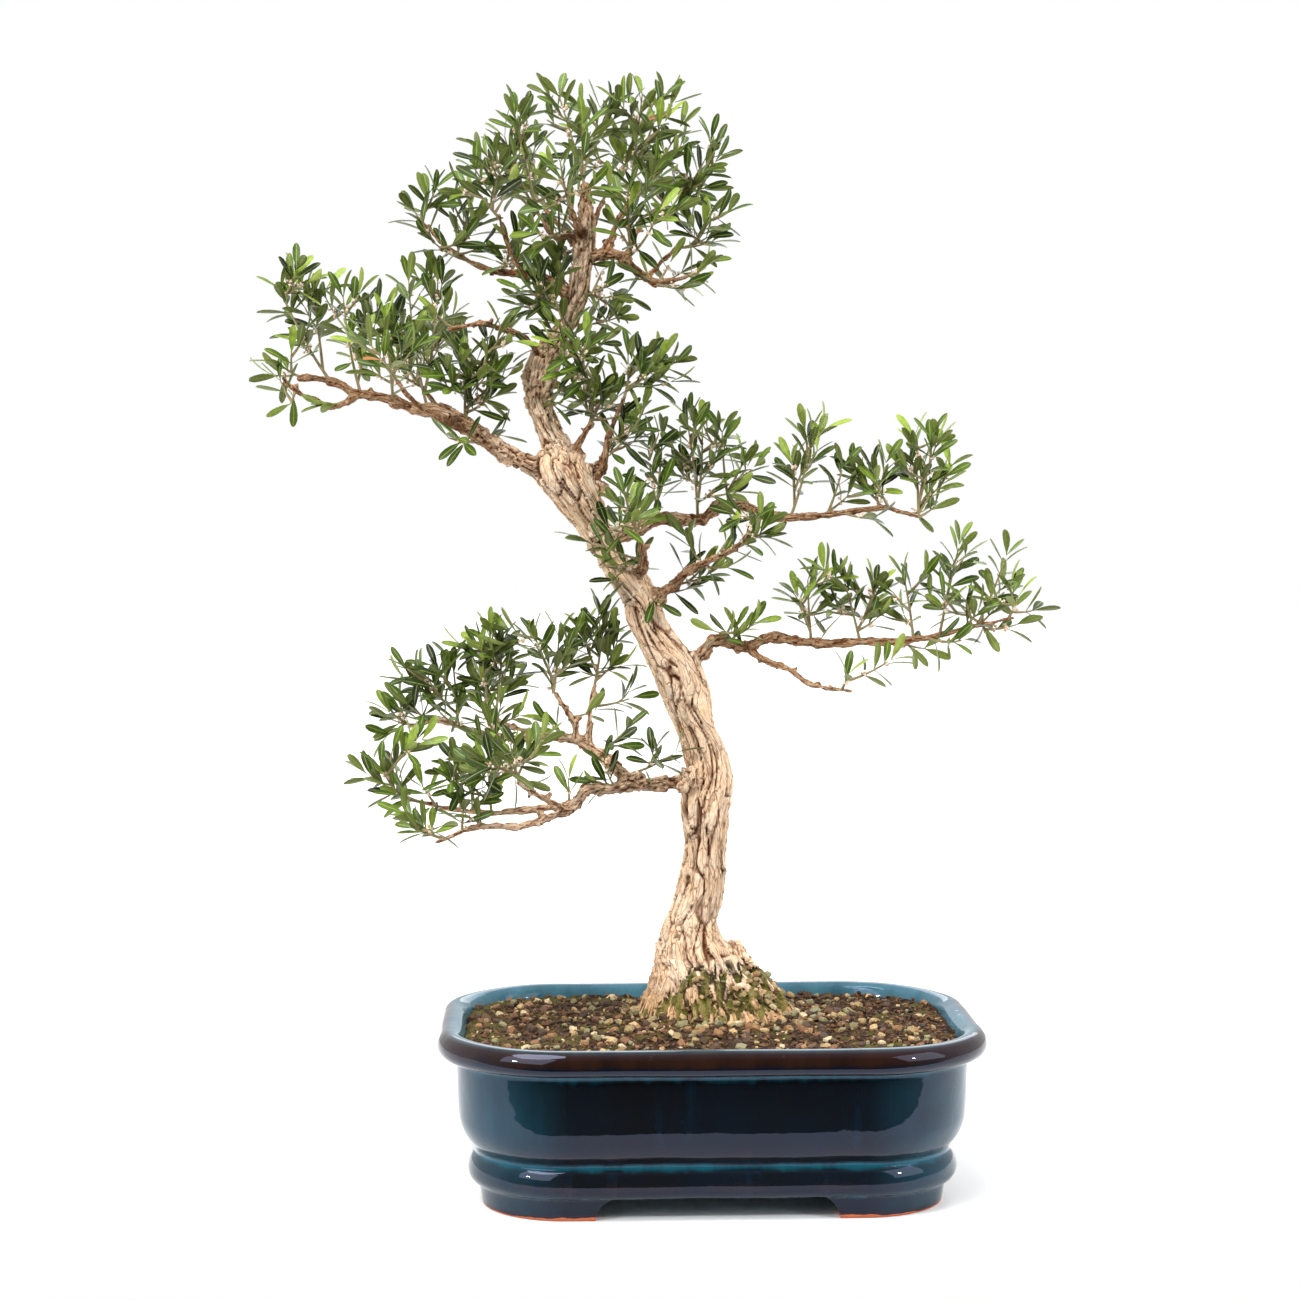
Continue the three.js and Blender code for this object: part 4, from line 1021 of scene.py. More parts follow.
def carve_bark(wood):
    """Sinks the furrows between the bark's plates, which run along the trunk and the limbs."""
    trunk, limbs = LINES["trunk"], [line for name, line in LINES.items() if name != "trunk"]
    rows = np.vstack([trunk] + limbs)
    ways = np.vstack([np.hstack(across_ways(line)) for line in [trunk] + limbs])
    lengths = np.concatenate([trunk[:, 2]] + [np.arange(len(line)) * RING_STEP + LINE_GAP * k
                                              for k, line in enumerate(limbs)])
    on_trunk, on_limb = row_finder(trunk), row_finder(np.vstack(limbs))
    spots, normals = vertex_places(wood), vertex_normals(wood)
    inner = (spots - np.array(POT_MIDDLE)) / MM
    sink, notes = [], []
    for spot, normal in zip(inner, normals):
        _, i, away = on_trunk.find(spot)
        _, k, limb_away = on_limb.find(spot)
        k += len(trunk)
        if limb_away - rows[k, 3] < away - rows[i, 3]:
            i = k
        off = spot - rows[i, :3]
        along, first, second = ways[i, :3], ways[i, 3:6], ways[i, 6:]
        stout = held((rows[i, 3] - 4) / 10)
        foot = held((FOOT_TOP - spot[2]) / FOOT_FADE)
        a, b, length = off @ first, off @ second, lengths[i] + off @ along
        fanned = 1 + foot * (30 / max(1, math.hypot(a, b)) - 1)
        a, b = a * fanned, b * fanned
        bend = wave(a * 0.05, b * 0.05, length * 0.035)
        bend *= 1.5 + 3.5 * stout * (1 - 0.7 * foot)
        a, b = a + bend, b - bend
        furrow, level, fine, ridge = bark_form(a, b, length, stout)
        fibre = wave(a / 2.0, b / 2.0, length / 30)
        furrow *= 1 - foot
        depth = min(3.1, 0.26 * rows[i, 3])
        moss = moss_share(spot)
        sink.append((0.5 * level - furrow) * depth + fine * (0.5 + 0.15 * stout)
                    + ridge * min(2.3, 0.9 + 0.1 * rows[i, 3])
                    + foot * 1.9 * fibre)
        notes.append((furrow, stout, foot, moss, a, b, length))
        if moss > 0.5:
            FOOT_SPOTS.append((spot, normal))
    set_places(wood, spots + normals * np.array(sink)[:, None] * MM)
    ends = edge_ends(wood)
    carved = vertex_places(wood)
    # How hollow each point lies, smoothed; the bark's finish uses it to paint shade into the hollows
    hollow = ((neighbours_mean(carved, ends, len(spots)) - carved) * normals).sum(1) / MM
    for _ in range(2):
        hollow = 0.5 * hollow + 0.5 * neighbours_mean(hollow, ends, len(spots))
    store(wood, "hollow", np.clip(hollow / 0.16, 0, 1))
    for name, values in zip(("crack", "stout", "foot", "moss", "across", "beside", "along"), zip(*notes)):
        store(wood, name, values)


def bark_finish():
    material, surface, place = new_finish("corky_bark", Roughness=0.9, Specular_IOR_Level=0.15)
    crack, stout, foot, hollow = (stored(surface, name) for name in ("crack", "stout", "foot", "hollow"))
    across, beside = stored(surface, "across"), stored(surface, "beside")
    along = times(stored(surface, "along"), 0.16)
    way = add(surface, "CombineXYZ", {0: across, 1: beside, 2: along}).outputs[0]
    warp = add(surface, "TexNoise", {"Vector": way, "Scale": 0.22, "Detail": 3}).outputs["Color"]
    bent = add(surface, "VectorMath", {0: warp, 1: (5, 5, 5)}, operation="MULTIPLY").outputs[0]
    bent = add(surface, "VectorMath", {0: way, 1: bent}, operation="ADD").outputs[0]
    seams, slits = (add(surface, "TexVoronoi", {"Vector": bent, "Scale": scale},
                        feature="DISTANCE_TO_EDGE").outputs[0] for scale in (0.24, 0.6))
    fissure, slit = stretch(seams, 0.07, 0.01), stretch(slits, 0.09, 0.0)
    grain = clouds(bent, 0.9, 5, 0.7)
    patches = clouds(place, 55, 5, 0.65)
    pale = blend(stretch(patches, 0.35, 0.68), rgb(255, 222, 185), rgb(255, 235, 208))
    worn = blend(stretch(grain, 0.28, 0.52), rgb(255, 205, 159), pale)
    twiggy = blend(stretch(grain, 0.32, 0.62), rgb(122, 90, 62), rgb(206, 172, 136))
    blotched = blend(stretch(patches, 0.54, 0.68), twiggy, rgb(112, 82, 57))
    height = add(surface, "SeparateXYZ", {"Vector": place}).outputs["Z"]
    # Painted light: the wood is painted paler below 0.34 m, fading out by 0.4 m, so the limbs higher up
    # stay darker as if in the crown's shade. The stout wood's pale worn plates are its own colour.
    painted_low_light = times(stretch(height, 0.4, 0.34), 0.55)
    worn_and_lit_share = plus(stretch(stout, 0.0, 0.5), painted_low_light)
    plates = blend(worn_and_lit_share, blotched, worn)
    # The slits and cracks in the plates, and the furrows between them, have the bark's darker brown; the
    # deeper furrows also get painted shade, darker the deeper they are and near black at the deepest, and
    # so do the hollows
    sunk = layered(plates, (times(slit, 0.4), 206, 144, 96), (times(fissure, 0.66), 132, 74, 37),
                   (stretch(crack, 0.15, 0.8, 0, 0.95), 110, 60, 29),
                   (stretch(crack, 0.65, 1.0, 0, 0.85), 50, 26, 12), (times(hollow, 0.2), 98, 52, 25))
    mossy = stored(surface, "moss")
    soiled = blend(stretch(grain, 0.36, 0.6), rgb(112, 80, 46), rgb(206, 162, 116))
    earthy = blend(stretch(foot, 0.3, 1.0, 0, 0.85), sunk, soiled)
    # Painted shade: the hollows of the mossy foot are painted near black
    gap = times(stretch(mossy, 0.05, 0.4), stretch(hollow, 0.02, 0.35))
    gap_shaded = blend(times(gap, 0.95), earthy, rgb(36, 27, 14))
    moss = blend(clouds(place, 600, 3), rgb(46, 44, 15), rgb(136, 130, 60))
    speck = times(clouds(bent, 1.1, 5, 0.75), 1.5)
    low = stretch(plus(mossy, speck), 1.28, 1.5, 0, 0.85)
    paint(surface, Base_Color=blend(low, gap_shaded, moss))
    flakes = stretch(clouds(bent, 0.42, 5, 0.62), 0.45, 0.53)
    rise = minus(plus(grain, times(flakes, 0.8)), times(slit, 0.5))
    rise = minus(rise, times(fissure, 0.9))
    roughen(surface, rise, 0.6, 0.0018)
    return material


def finish_screens():
    """The nets over the two drain holes are dark plastic."""
    material, surface, place = new_finish("net_plastic", Roughness=0.55)
    grey = blend(clouds(place, 400), rgb(16, 18, 18), rgb(40, 42, 40))
    paint(surface, Base_Color=grey)
    for name in ("drain_screen_left", "drain_screen_right"):
        screen = bpy.data.objects[name]
        screen.data.materials.clear()
        screen.data.materials.append(material)


def make_wood():
    LINES["trunk"] = trunk_rows()
    for name in LIMBS:
        LINES[name] = limb_rows(name)
    draw = draws("wood")
    parts = [tube_mesh(LINES["trunk"], TRUNK_SIDES, level=True)]
    parts += [tube_mesh(LINES[name], TUBE_SIDES) for name in LIMBS]
    parts += [tube_mesh(root_rows(draw, number), 6) for number in range(ROOTS)]
    parts += [tube_mesh(stub_rows(draw), 6) for _ in range(STUBS)]
    parts += [ball_mesh(placed(u, w, depth), size) for u, w, depth, size in KNOBS]
    wood = start_piece("wood_and_bark", *join_meshes(parts))
    wood.data.remesh_voxel_size = SKIN_GRID * MM
    bpy.ops.object.voxel_remesh()
    spots = vertex_places(wood)
    for _ in range(2):
        spots = 0.5 * spots + 0.5 * neighbours_mean(spots, edge_ends(wood), len(spots))
    set_places(wood, spots)
    carve_bark(wood)
    smooth_by_angle(wood, 60)
    wood.data.materials.append(bark_finish())
    done(wood, "bark", "wood")


# The soil, its gravel and moss

# The underside of the soil, which the pot hides
SOIL_LOW = 96
SOIL_INSET = 20.2
SOIL_COLUMNS = 340
SOIL_ROWS = 62
# Stones, crumbs and moss lie within this rectangle, at least so far in from the pot's outline
SCATTER_WIDTH = 358
SCATTER_DEPTH = 238
SCATTER_INSET = 24
# How many lie on the soil, how many more by the trunk's foot, and the least and greatest size
GRAVEL = (1500, 210, 1.1, 4.6)
CRUMBS = (3400, 160, 0.9, 3.6)
MOSS_TUFTS = 1500
# The colours of the stones, each with the tone, 0 to 1, from which it holds
STONE_SHADES = [
    (0.0, (62, 44, 32)), (0.16, (92, 62, 44)), (0.3, (128, 88, 58)), (0.42, (150, 112, 72)),
    (0.54, (138, 132, 92)), (0.64, (160, 138, 94)), (0.76, (190, 160, 112)), (0.86, (138, 134, 100)),
    (0.94, (208, 188, 148)),
]
# A lump is a top, four points round it and a foot
LUMP_SIDES = [(0, 1, 2), (0, 2, 3), (0, 3, 4), (0, 4, 1), (5, 2, 1), (5, 3, 2), (5, 4, 3), (5, 1, 4)]
CRUMB_POINTS = [(0, 0, 1), (0.9, 0, 0.1), (0, 0.8, 0), (-1, 0.1, -0.1), (0.1, -0.8, 0.1), (0, 0, -0.9)]
BUD_POINTS = [(0, 0, 1.3), (0.8, 0, 0.2), (0, 0.8, 0.2), (-0.8, 0, 0.2), (0, -0.8, 0.2), (0, 0, -1.0)]


def soil_height(x, y):
    """The soil's top without its crumbs: a mound round the trunk, with slow waves."""
    away = math.hypot(x - MOUND_AT[0], (y - MOUND_AT[1]) * 1.3)
    crumbs = math.sin(x * 0.31 + y * 0.17) + math.sin(y * 0.37 - x * 0.11)
    return SOIL_EDGE + SOIL_MOUND * math.exp(-((away / MOUND_REACH) ** 2)) + 0.7 * crumbs


def pot_outline_at(inset, count):
    """Points along the pot's rounded outline at an inset, evenly apart."""
    corner = POT_CORNER - inset
    front, side = POT_WIDTH / 2 - POT_CORNER, POT_DEPTH / 2 - POT_CORNER
    spots = []
    for quarter, (way_x, way_y) in enumerate(((1, 1), (-1, 1), (-1, -1), (1, -1))):
        for step in range(17):
            angle = (quarter + step / 16) * math.pi / 2
            spots.append([way_x * front + corner * math.cos(angle),
                          way_y * side + corner * math.sin(angle)])
    spots = np.array(spots + spots[:1])
    along = np.concatenate([[0], np.cumsum(np.linalg.norm(np.diff(spots, axis=0), axis=1))])
    places = np.linspace(0, along[-1], count, endpoint=False)
    return np.column_stack([np.interp(places, along, spots[:, k]) for k in (0, 1)])


def ground_at(x, y):
    """The soil's crumbly top."""
    rough = 1.3 * wave(x / 11, y / 11, 0)
    rough += 1.1 * wave(x / 4.2, y / 4.2, 5)
    rough += 0.6 * wave(x / 1.9, y / 1.9, 9)
    return soil_height(x, y) + rough


def soil_spot(draw, near):
    """A place on the soil. The nearer near is to 1, the more often it lies by the trunk."""
    while True:
        if next(draw) < near:
            angle, away = next(draw) * 2 * math.pi, 22 + 60 * next(draw)
            x, y = MOUND_AT[0] + away * 1.25 * math.cos(angle), MOUND_AT[1] + away * math.sin(angle)
        else:
            x, y = (next(draw) - 0.5) * SCATTER_WIDTH, (next(draw) - 0.5) * SCATTER_DEPTH
        inset_x, inset_y = POT_WIDTH / 2 - SCATTER_INSET - abs(x), POT_DEPTH / 2 - SCATTER_INSET - abs(y)
        corner = POT_CORNER - SCATTER_INSET
        past = math.hypot(max(0, corner - inset_x), max(0, corner - inset_y)) > corner
        if inset_x > 0 and inset_y > 0 and not past:
            return x, y


def soil_finish():
    material, surface, place = new_finish("potting_soil", Roughness=0.95, Specular_IOR_Level=0.2)
    crumbs = add(surface, "TexVoronoi", {"Vector": place, "Scale": 420})
    tint = add(surface, "SeparateColor", {"Color": crumbs.outputs["Color"]}).outputs["Red"]
    brown = blend(tint, rgb(14, 9, 5), rgb(68, 45, 27))
    bits = stretch(clouds(place, 160, 4), 0.55, 0.72)
    ochre = blend(bits, brown, rgb(124, 90, 50))
    green = stretch(stored(surface, "moss"), 0.35, 0.75)
    mossy = blend(clouds(place, 700, 3), rgb(50, 46, 20), rgb(104, 100, 42))
    paint(surface, Base_Color=blend(times(green, 0.8), ochre, mossy))
    height = plus(crumbs.outputs["Distance"], clouds(place, 900, 4))
    roughen(surface, height, 0.7, 0.0015)
    return material


def moss_at(x, y):
    """Where moss grows: patches, most at the left and by the trunk's foot."""
    patch = 0.38 + 0.8 * wave(x / 30, y / 22, 4)
    left = 0.30 * math.exp(-((x + 140) / 55) ** 2)
    trunk = 0.34 * math.exp(-(math.hypot(x - MOUND_AT[0], y - MOUND_AT[1]) / 62) ** 2)
    return held(patch - 0.12 + left + trunk)


def make_soil():
    edge = pot_outline_at(SOIL_INSET, SOIL_COLUMNS)
    points, faces = [(x, y, SOIL_LOW) for x, y in edge * 0.97], []
    for row in range(SOIL_ROWS):
        for x, y in edge * (1 - row / SOIL_ROWS):
            points.append((x, y, ground_at(x, y) - (1.5 if row == 0 else 0)))
    points += [(0, 0, ground_at(0, 0)), (0, 0, SOIL_LOW)]
    for row in range(SOIL_ROWS):
        for i in range(SOIL_COLUMNS):
            k = (i + 1) % SOIL_COLUMNS
            low, high = row * SOIL_COLUMNS, (row + 1) * SOIL_COLUMNS
            faces.append((low + i, low + k, high + k, high + i))
    top = SOIL_ROWS * SOIL_COLUMNS
    for i in range(SOIL_COLUMNS):
        k = (i + 1) % SOIL_COLUMNS
        faces += [(top + i, top + k, len(points) - 2), (k, i, len(points) - 1)]
    soil = start_piece("crumbly_soil", points, faces)
    store(soil, "moss", [moss_at(x, y) for x, y, _ in points])
    smooth_by_angle(soil, 50)
    soil.data.materials.append(soil_finish())
    done(soil, "soil", "soil")


def pebble(seed):
    """A pebble: a cube whose corners are cut and whose sides are pushed about. It has 24 faces."""
    bpy.ops.mesh.primitive_cube_add(size=2)
    stone = bpy.context.object
    open_piece(stone)
    bpy.ops.mesh.subdivide(number_cuts=1, smoothness=0.5)
    bpy.ops.object.mode_set(mode="OBJECT")
    spots = vertex_places(stone)
    pushes = [noise.noise(Vector(spot) * 0.9 + Vector((seed * 7, 0, 0))) for spot in spots]
    spots *= 1 + 0.8 * np.array(pushes)[:, None]
    spots /= np.abs(spots).max()
    faces = [tuple(side.vertices) for side in stone.data.polygons]
    bpy.data.objects.remove(stone)
    return spots, faces


def turned(draw, flat):
    """A turn at random, as three rows. The lower flat is, the nearer the piece stays to lying flat."""
    tip, roll = (next(draw) - 0.5) * flat * 2.4, (next(draw) - 0.5) * flat * 2.4
    spin = next(draw) * 2 * math.pi
    return np.array(Euler((tip, roll, spin)).to_matrix())


def scatter_stones(name, amounts, shapes, draw, near, sunk):
    """Stones of some shapes, sunk a share of their size into the soil or caught on the trunk's foot."""
    number, on_foot, least, greatest = amounts
    parts, tone = [], []
    for k in range(number + on_foot):
        x, y = soil_spot(draw, near)
        size = least + (greatest - least) * next(draw) ** 2.2
        spots, faces = chosen(draw, shapes)
        scale = size * np.array([1, 0.7 + 0.3 * next(draw), 0.5 + 0.3 * next(draw)])
        middle = np.array([x, y, ground_at(x, y) + size * (0.5 - sunk)])
        if k >= number:
            spot, way = chosen(draw, FOOT_SPOTS)
            middle = spot + way * 0.4 * size
        parts.append(((spots * scale) @ turned(draw, 0.5).T + middle, faces))
        lowest = 0 if k < number else 0.45
        tone += [lowest + (1 - lowest) * next(draw)] * len(spots)
    piece = start_piece(name, *join_meshes(parts))
    store(piece, "tone", tone)
    return piece


def gravel_finish():
    material, surface, place = new_finish("gravel_stone", Roughness=0.8)
    colours = add(surface, "ValToRGB", {"Fac": stored(surface, "tone")})
    ramp = colours.color_ramp
    ramp.interpolation = "CONSTANT"
    for start, _ in STONE_SHADES[1:]:
        ramp.elements.new(start)
    for element, (start, shade) in zip(ramp.elements, STONE_SHADES):
        element.position, element.color = start, rgb(*shade)
    start, shade = STONE_SHADES[-1]
    ramp.elements[-1].position, ramp.elements[-1].color = start, rgb(*shade)
    specks = stretch(clouds(place, 900, 5, 0.7), 0.4, 0.75)
    speckled = blend(specks, colours.outputs["Color"], rgb(84, 62, 40))
    paint(surface, Base_Color=speckled)
    roughen(surface, clouds(place, 1400, 4, 0.7), 0.5, 0.0006)
    return material


def crumb_finish():
    material, surface, place = new_finish("bark_crumbs", Roughness=0.93)
    tone = stored(surface, "tone")
    brown = blend(tone, rgb(17, 10, 6), rgb(98, 66, 40))
    flecks = stretch(clouds(place, 1200, 4), 0.55, 0.7)
    fleck = blend(flecks, brown, rgb(146, 108, 66))
    paint(surface, Base_Color=fleck)
    roughen(surface, clouds(place, 1500, 3), 0.5, 0.0006)
    return material


def make_gravel():
    draw = draws("gravel")
    shapes = [pebble(seed) for seed in range(6)]
    gravel = scatter_stones("gravel", GRAVEL, shapes, draw, 0.35, 0.25)
    smooth_by_angle(gravel, 24)
    gravel.data.materials.append(gravel_finish())
    done(gravel, "soil")
    lump = (np.array(CRUMB_POINTS), LUMP_SIDES)
    crumbs = scatter_stones("soil_crumbs", CRUMBS, [lump], draw, 0.1, 0.15)
    crumbs.data.materials.append(crumb_finish())
    done(crumbs, "soil")


def make_moss():
    """Tufts of three fine moss leaves, each a sliver of four faces."""
    draw = draws("moss")
    parts, tone = [], []
    while len(parts) < 3 * MOSS_TUFTS:
        x, y = soil_spot(draw, 0.5)
        z = ground_at(x, y)
        if next(draw) < 0.2:
            x, y, z = chosen(draw, FOOT_SPOTS)[0]
        elif moss_at(x, y) < 0.35 + 0.45 * next(draw):
            continue
        size = 1.2 + 2.0 * next(draw)
        for _ in range(3):
            angle, lean = next(draw) * 2 * math.pi, 0.3 + 0.8 * next(draw)
            way = np.array([math.cos(angle) * lean, math.sin(angle) * lean, 1.0])
            side = np.array([-math.sin(angle), math.cos(angle), 0]) * 0.35
            foot = np.array([x, y, z - 0.4])
            spots = [foot - side, foot + side, foot + way * 0.35, foot + way * size]
            parts.append((spots, [(0, 2, 1), (0, 1, 3), (1, 2, 3), (2, 0, 3)]))
            tone += [next(draw)] * 4
    moss = start_piece("moss_tufts", *join_meshes(parts))
    store(moss, "tone", tone)
    material, surface, _ = new_finish("moss_green", Roughness=0.8)
    green = blend(stored(surface, "tone"), rgb(52, 50, 18), rgb(126, 122, 56))
    paint(surface, Base_Color=green)
    moss.data.materials.append(material)
    done(moss, "soil")


# The leafy sprays

LEAF_LENGTH = (16, 26)
LEAF_WIDTH = (5.0, 6.7)
# A shoot ends this far before its tip of the drawing, which its last leaves reach
LEAF_REACH = 17
SHORTEST_SHOOT = 14
# The main shoots of a spray part this far outside the limb
FORK = 6
# A leaf's outline: [share of its length, share of its width]
LEAF_STATIONS = [[0.0, 0.12], [0.12, 0.22], [0.36, 0.76], [0.6, 1.0], [0.8, 0.95], [0.94, 0.6]]
# The kinds of leaf: [how much it arches, how much its sides fold up]
LEAF_SHAPES = [[0.05, 0.22], [0.11, 0.3], [-0.05, 0.26], [0.16, 0.18]]
# A leaf needs room round three places down its length: [share of the length, share of LEAF_ROOM]
LEAF_ROOM = 3.4
LEAF_PROBES = [[0.45, 0.55], [0.75, 0.8], [1.0, 0.6]]
WOOD_GAP = 2.5
SHOOT_STEP = 3.0
# One leaf in a thousand is dead. Its tone is below that of any living one.
DEAD_SHARE = 0.001
DEAD_TONE = -1.0
# Which of a spray's three materials a face has
LEAF, TWIG, BUD = 0, 1, 2
# How far from a tip of the drawing its shoot forks off, at best
FORK_REACH = 34
# The two orders of shoots: thickness at the foot, tone of the twig, leafy share and leaves' tone.
# The side shoots' leaves are painted darker, as painted shade inside the sprays.
MAIN_SHOOT = (1.25, 0.5, 0.74, 1.0)
SIDE_SHOOT = (0.85, 0.9, 0.95, 0.76)
# Shoots sprout from the trunk itself only above this height
LEAFY_TRUNK = 545
# How far apart the side shoots of each group's shoots are
SIDE_SHOOTS = {"crown": 33, "left": 28, "leader": 32, "trunk": 50, "middle": 80, "upper_right": 80,
               "small_right": 50, "lower_right": 95, "lower_left": 29}
TWIG_SIDES = 5


def leaf_shape(arch, fold):
    """A leaf one long and one wide: narrow at its foot, widest past the middle, round at the tip.
    Each station has its left edge, upper midrib, right edge and lower midrib."""
    spots, across, under = [], [], []
    for share, wide in LEAF_STATIONS + [[1.0, 0.18]]:
        lift = arch * 4 * share * (1 - 0.55 * share)
        edge = fold * wide * 0.5
        spots += [(share, -wide / 2, lift, edge), (share, 0, lift, 0.035), (share, wide / 2, lift, edge),
                  (share, 0, lift, -0.05)]
        across += [1, 0, 1, 0]
        under += [0.5, 0, 0.5, 1]
    faces = [(0, 3, 2, 1)]
    for station in range(len(LEAF_STATIONS)):
        low, high = station * 4, station * 4 + 4
        faces += [(low + i, low + (i + 1) % 4, high + (i + 1) % 4, high + i) for i in range(4)]
    last = len(LEAF_STATIONS) * 4
    faces.append((last, last + 1, last + 2, last + 3))
    return np.array(spots), faces, across, under


def unit(way):
    return way / max(np.linalg.norm(way), 1e-9)


class Spray:
    """The leaves, twigs and buds of one spray, gathered before they are made a mesh."""

    def __init__(self, node, base):
        self.node, self.base, self.draw = node, base, draws(node + " leaves")
        self.parts, self.tone, self.across, self.under, self.kind = [], [], [], [], []

    def take(self, spots, faces, tone, across, under, kind):
        self.parts.append((spots, faces))
        self.tone += list(tone)
        self.across += across
        self.under += under
        self.kind += [kind] * len(faces)


def main_line(start, reach, draw):
    """A shoot's line: outwards from its limb and bent up to its tip."""
    away = np.array(reach) - start
    length = max(np.linalg.norm(away) - LEAF_REACH, SHORTEST_SHOOT)
    tip = start + unit(away) * length
    bend = (start + tip) / 2 + np.array([(next(draw) - 0.5) * 0.1 * length, 0, -0.1 * length])
    return bent_line(start, bend, tip)


def bent_line(start, bend, tip):
    t = np.linspace(0, 1, 13)[:, None]
    return evenly((1 - t) ** 2 * start + 2 * t * (1 - t) * bend + t * t * tip, SHOOT_STEP)


def along_ways(line):
    """The way that a line runs at each of its points."""
    ways = np.gradient(line, axis=0)
    return ways / np.linalg.norm(ways, axis=1)[:, None]


class Room:
    """What is in place already, so that no leaf grows through another or through the wood."""

    def __init__(self):
        rows = np.vstack(list(LINES.values()))
        self.wood, self.radii, self.cells = row_finder(rows), rows[:, 3], {}

    def cell(self, spot):
        return tuple(int(part // LEAF_ROOM) for part in spot)

    def free(self, spot, reach):
        x, y, z = self.cell(spot)
        for i in (-1, 0, 1):
            for j in (-1, 0, 1):
                for k in (-1, 0, 1):
                    for other in self.cells.get((x + i, y + j, z + k), ()):
                        if np.linalg.norm(other - spot) < reach:
                            return False
        _, i, away = self.wood.find(spot)
        return away >= self.radii[i] + WOOD_GAP

    def fill(self, spot):
        self.cells.setdefault(self.cell(spot), []).append(spot)


def add_leaf(spray, shapes, room, root, along, side, spread, size, tone):
    """A leaf on a shoot, if it has room. Its upper face looks to the shoot's tip and to the light."""
    draw = spray.draw
    out = unit(along * math.cos(spread) + side * math.sin(spread))
    length = LEAF_LENGTH[0] + (LEAF_LENGTH[1] - LEAF_LENGTH[0]) * size
    probes = [root + out * length * share for share, _ in LEAF_PROBES]
    if not all(room.free(probe, LEAF_ROOM * part) for probe, (_, part) in zip(probes, LEAF_PROBES)):
        return
    for probe in probes:
        room.fill(probe)
    light = np.array([0, -0.15, 0.55 + 0.4 * next(draw)])
    face = unit(along * math.sin(spread) - side * math.cos(spread) + light)
    face = unit(face - out * (face @ out))
    roll = (next(draw) - 0.5) * 1.5
    width_way = np.cross(face, out)
    face, width_way = (face * math.cos(roll) + width_way * math.sin(roll),
                       width_way * math.cos(roll) - face * math.sin(roll))
    width = LEAF_WIDTH[0] + (LEAF_WIDTH[1] - LEAF_WIDTH[0]) * (0.6 * size + 0.4 * next(draw))
    shape, faces, across, under = chosen(draw, shapes)
    spots = (root + shape[:, :1] * out * length + shape[:, 1:2] * width_way * width
             + (shape[:, 2:3] * length * 0.5 + shape[:, 3:4] * width) * face)
    own = held(tone + 0.22 * (next(draw) - 0.5))
    if next(draw) < DEAD_SHARE:
        own = DEAD_TONE
    spray.take(spots, faces, [own] * len(spots), across, under, LEAF)


def add_twig(spray, line, thick, thin, tone):
    rows = np.column_stack([line, np.linspace(thick, thin, len(line)), np.zeros(len(line))])
    spots, faces = tube_mesh(rows[::2] if len(rows) > 6 else rows, TWIG_SIDES)
    none = [0] * len(spots)
    spray.take(spots, faces, [tone] * len(spots), none, none, TWIG)


def add_buds(spray, spot):
    """A dry cluster of old flower buds at a node."""
    draw = spray.draw
    for _ in range(3 + int(next(draw) * 4)):
        off = np.array([next(draw) - 0.5, next(draw) - 0.5, next(draw) - 0.4]) * 5
        size = 1.1 + 1.0 * next(draw)
        spots = (np.array(BUD_POINTS) * size) @ turned(draw, 1).T + spot + off
        spray.take(spots, LUMP_SIDES, [next(draw)] * 6, [0] * 6, [0] * 6, BUD)


def grow_shoot(spray, line, order, shapes, room):
    """Sets pairs of leaves down a shoot from its tip, each crosswise to the next."""
    draw = spray.draw
    thick, twig_tone, leafy, light = order
    ways = along_ways(line)
    length = SHOOT_STEP * (len(line) - 1)
    add_twig(spray, line, thick, 0.5, twig_tone)
    fresh = next(draw)
    away, pair, turn = 0.4, 0, next(draw) * math.pi
    while away < max(length * leafy, 6):
        i = max(0, min(len(line) - 1, round((length - away) / SHOOT_STEP)))
        base = unit(np.cross(ways[i], np.array([0.3, 1.0, 0.2])))
        cross = np.cross(ways[i], base)
        side = base * math.cos(turn) + cross * math.sin(turn)
        near_tip = math.exp(-away / 17)
        spread = 0.4 + 0.75 * (1 - near_tip) + 0.4 * next(draw)
        size = (0.35 + 0.65 * (1 - math.exp(-(away + 3) / 7))) * (0.7 + 0.3 * next(draw))
        # Painted shade: the last number of a shoot's order paints the side shoots' leaves darker
        tone = (0.04 + 0.8 * near_tip * fresh + 0.28 * next(draw)) * light
        for way in (1, -1):
            if next(draw) < 0.9:
                add_leaf(spray, shapes, room, line[i], ways[i], side * way, spread, size, tone)
        if pair and next(draw) < 0.3:
            add_buds(spray, line[i])
        pair += 1
        away += 4.6 + 1.1 * min(pair, 4) + 2.6 * next(draw)
        turn += math.pi / 2 + 0.3 * (next(draw) - 0.5)


def side_shoots(spray, line):
    """Short shoots that fork from a shoot all round it, leaning outwards and up."""
    draw = spray.draw
    ways = along_ways(line)
    length = SHOOT_STEP * (len(line) - 1)
    out = []
    every = SIDE_SHOOTS[spray.node.split("_spray")[0]]
    away, turn = every * (0.4 + 0.5 * next(draw)), next(draw) * 6
    while away < length * 0.8:
        i = int((length - away) / SHOOT_STEP)
        base = unit(np.cross(ways[i], np.array([0.1, 1.0, 0.3])))
        cross = np.cross(ways[i], base)
        side = base * math.cos(turn) + cross * math.sin(turn)
        reach = 12 + 18 * next(draw)
        way = unit(ways[i] * 0.75 + side * 0.8 + np.array([0, 0, 0.28]))
        tip = line[i] + way * reach
        out.append(bent_line(line[i], line[i] + unit(ways[i] + side) * reach * 0.5, tip))
        away += every * (0.7 + 0.6 * next(draw))
        turn += 2.4
    return out


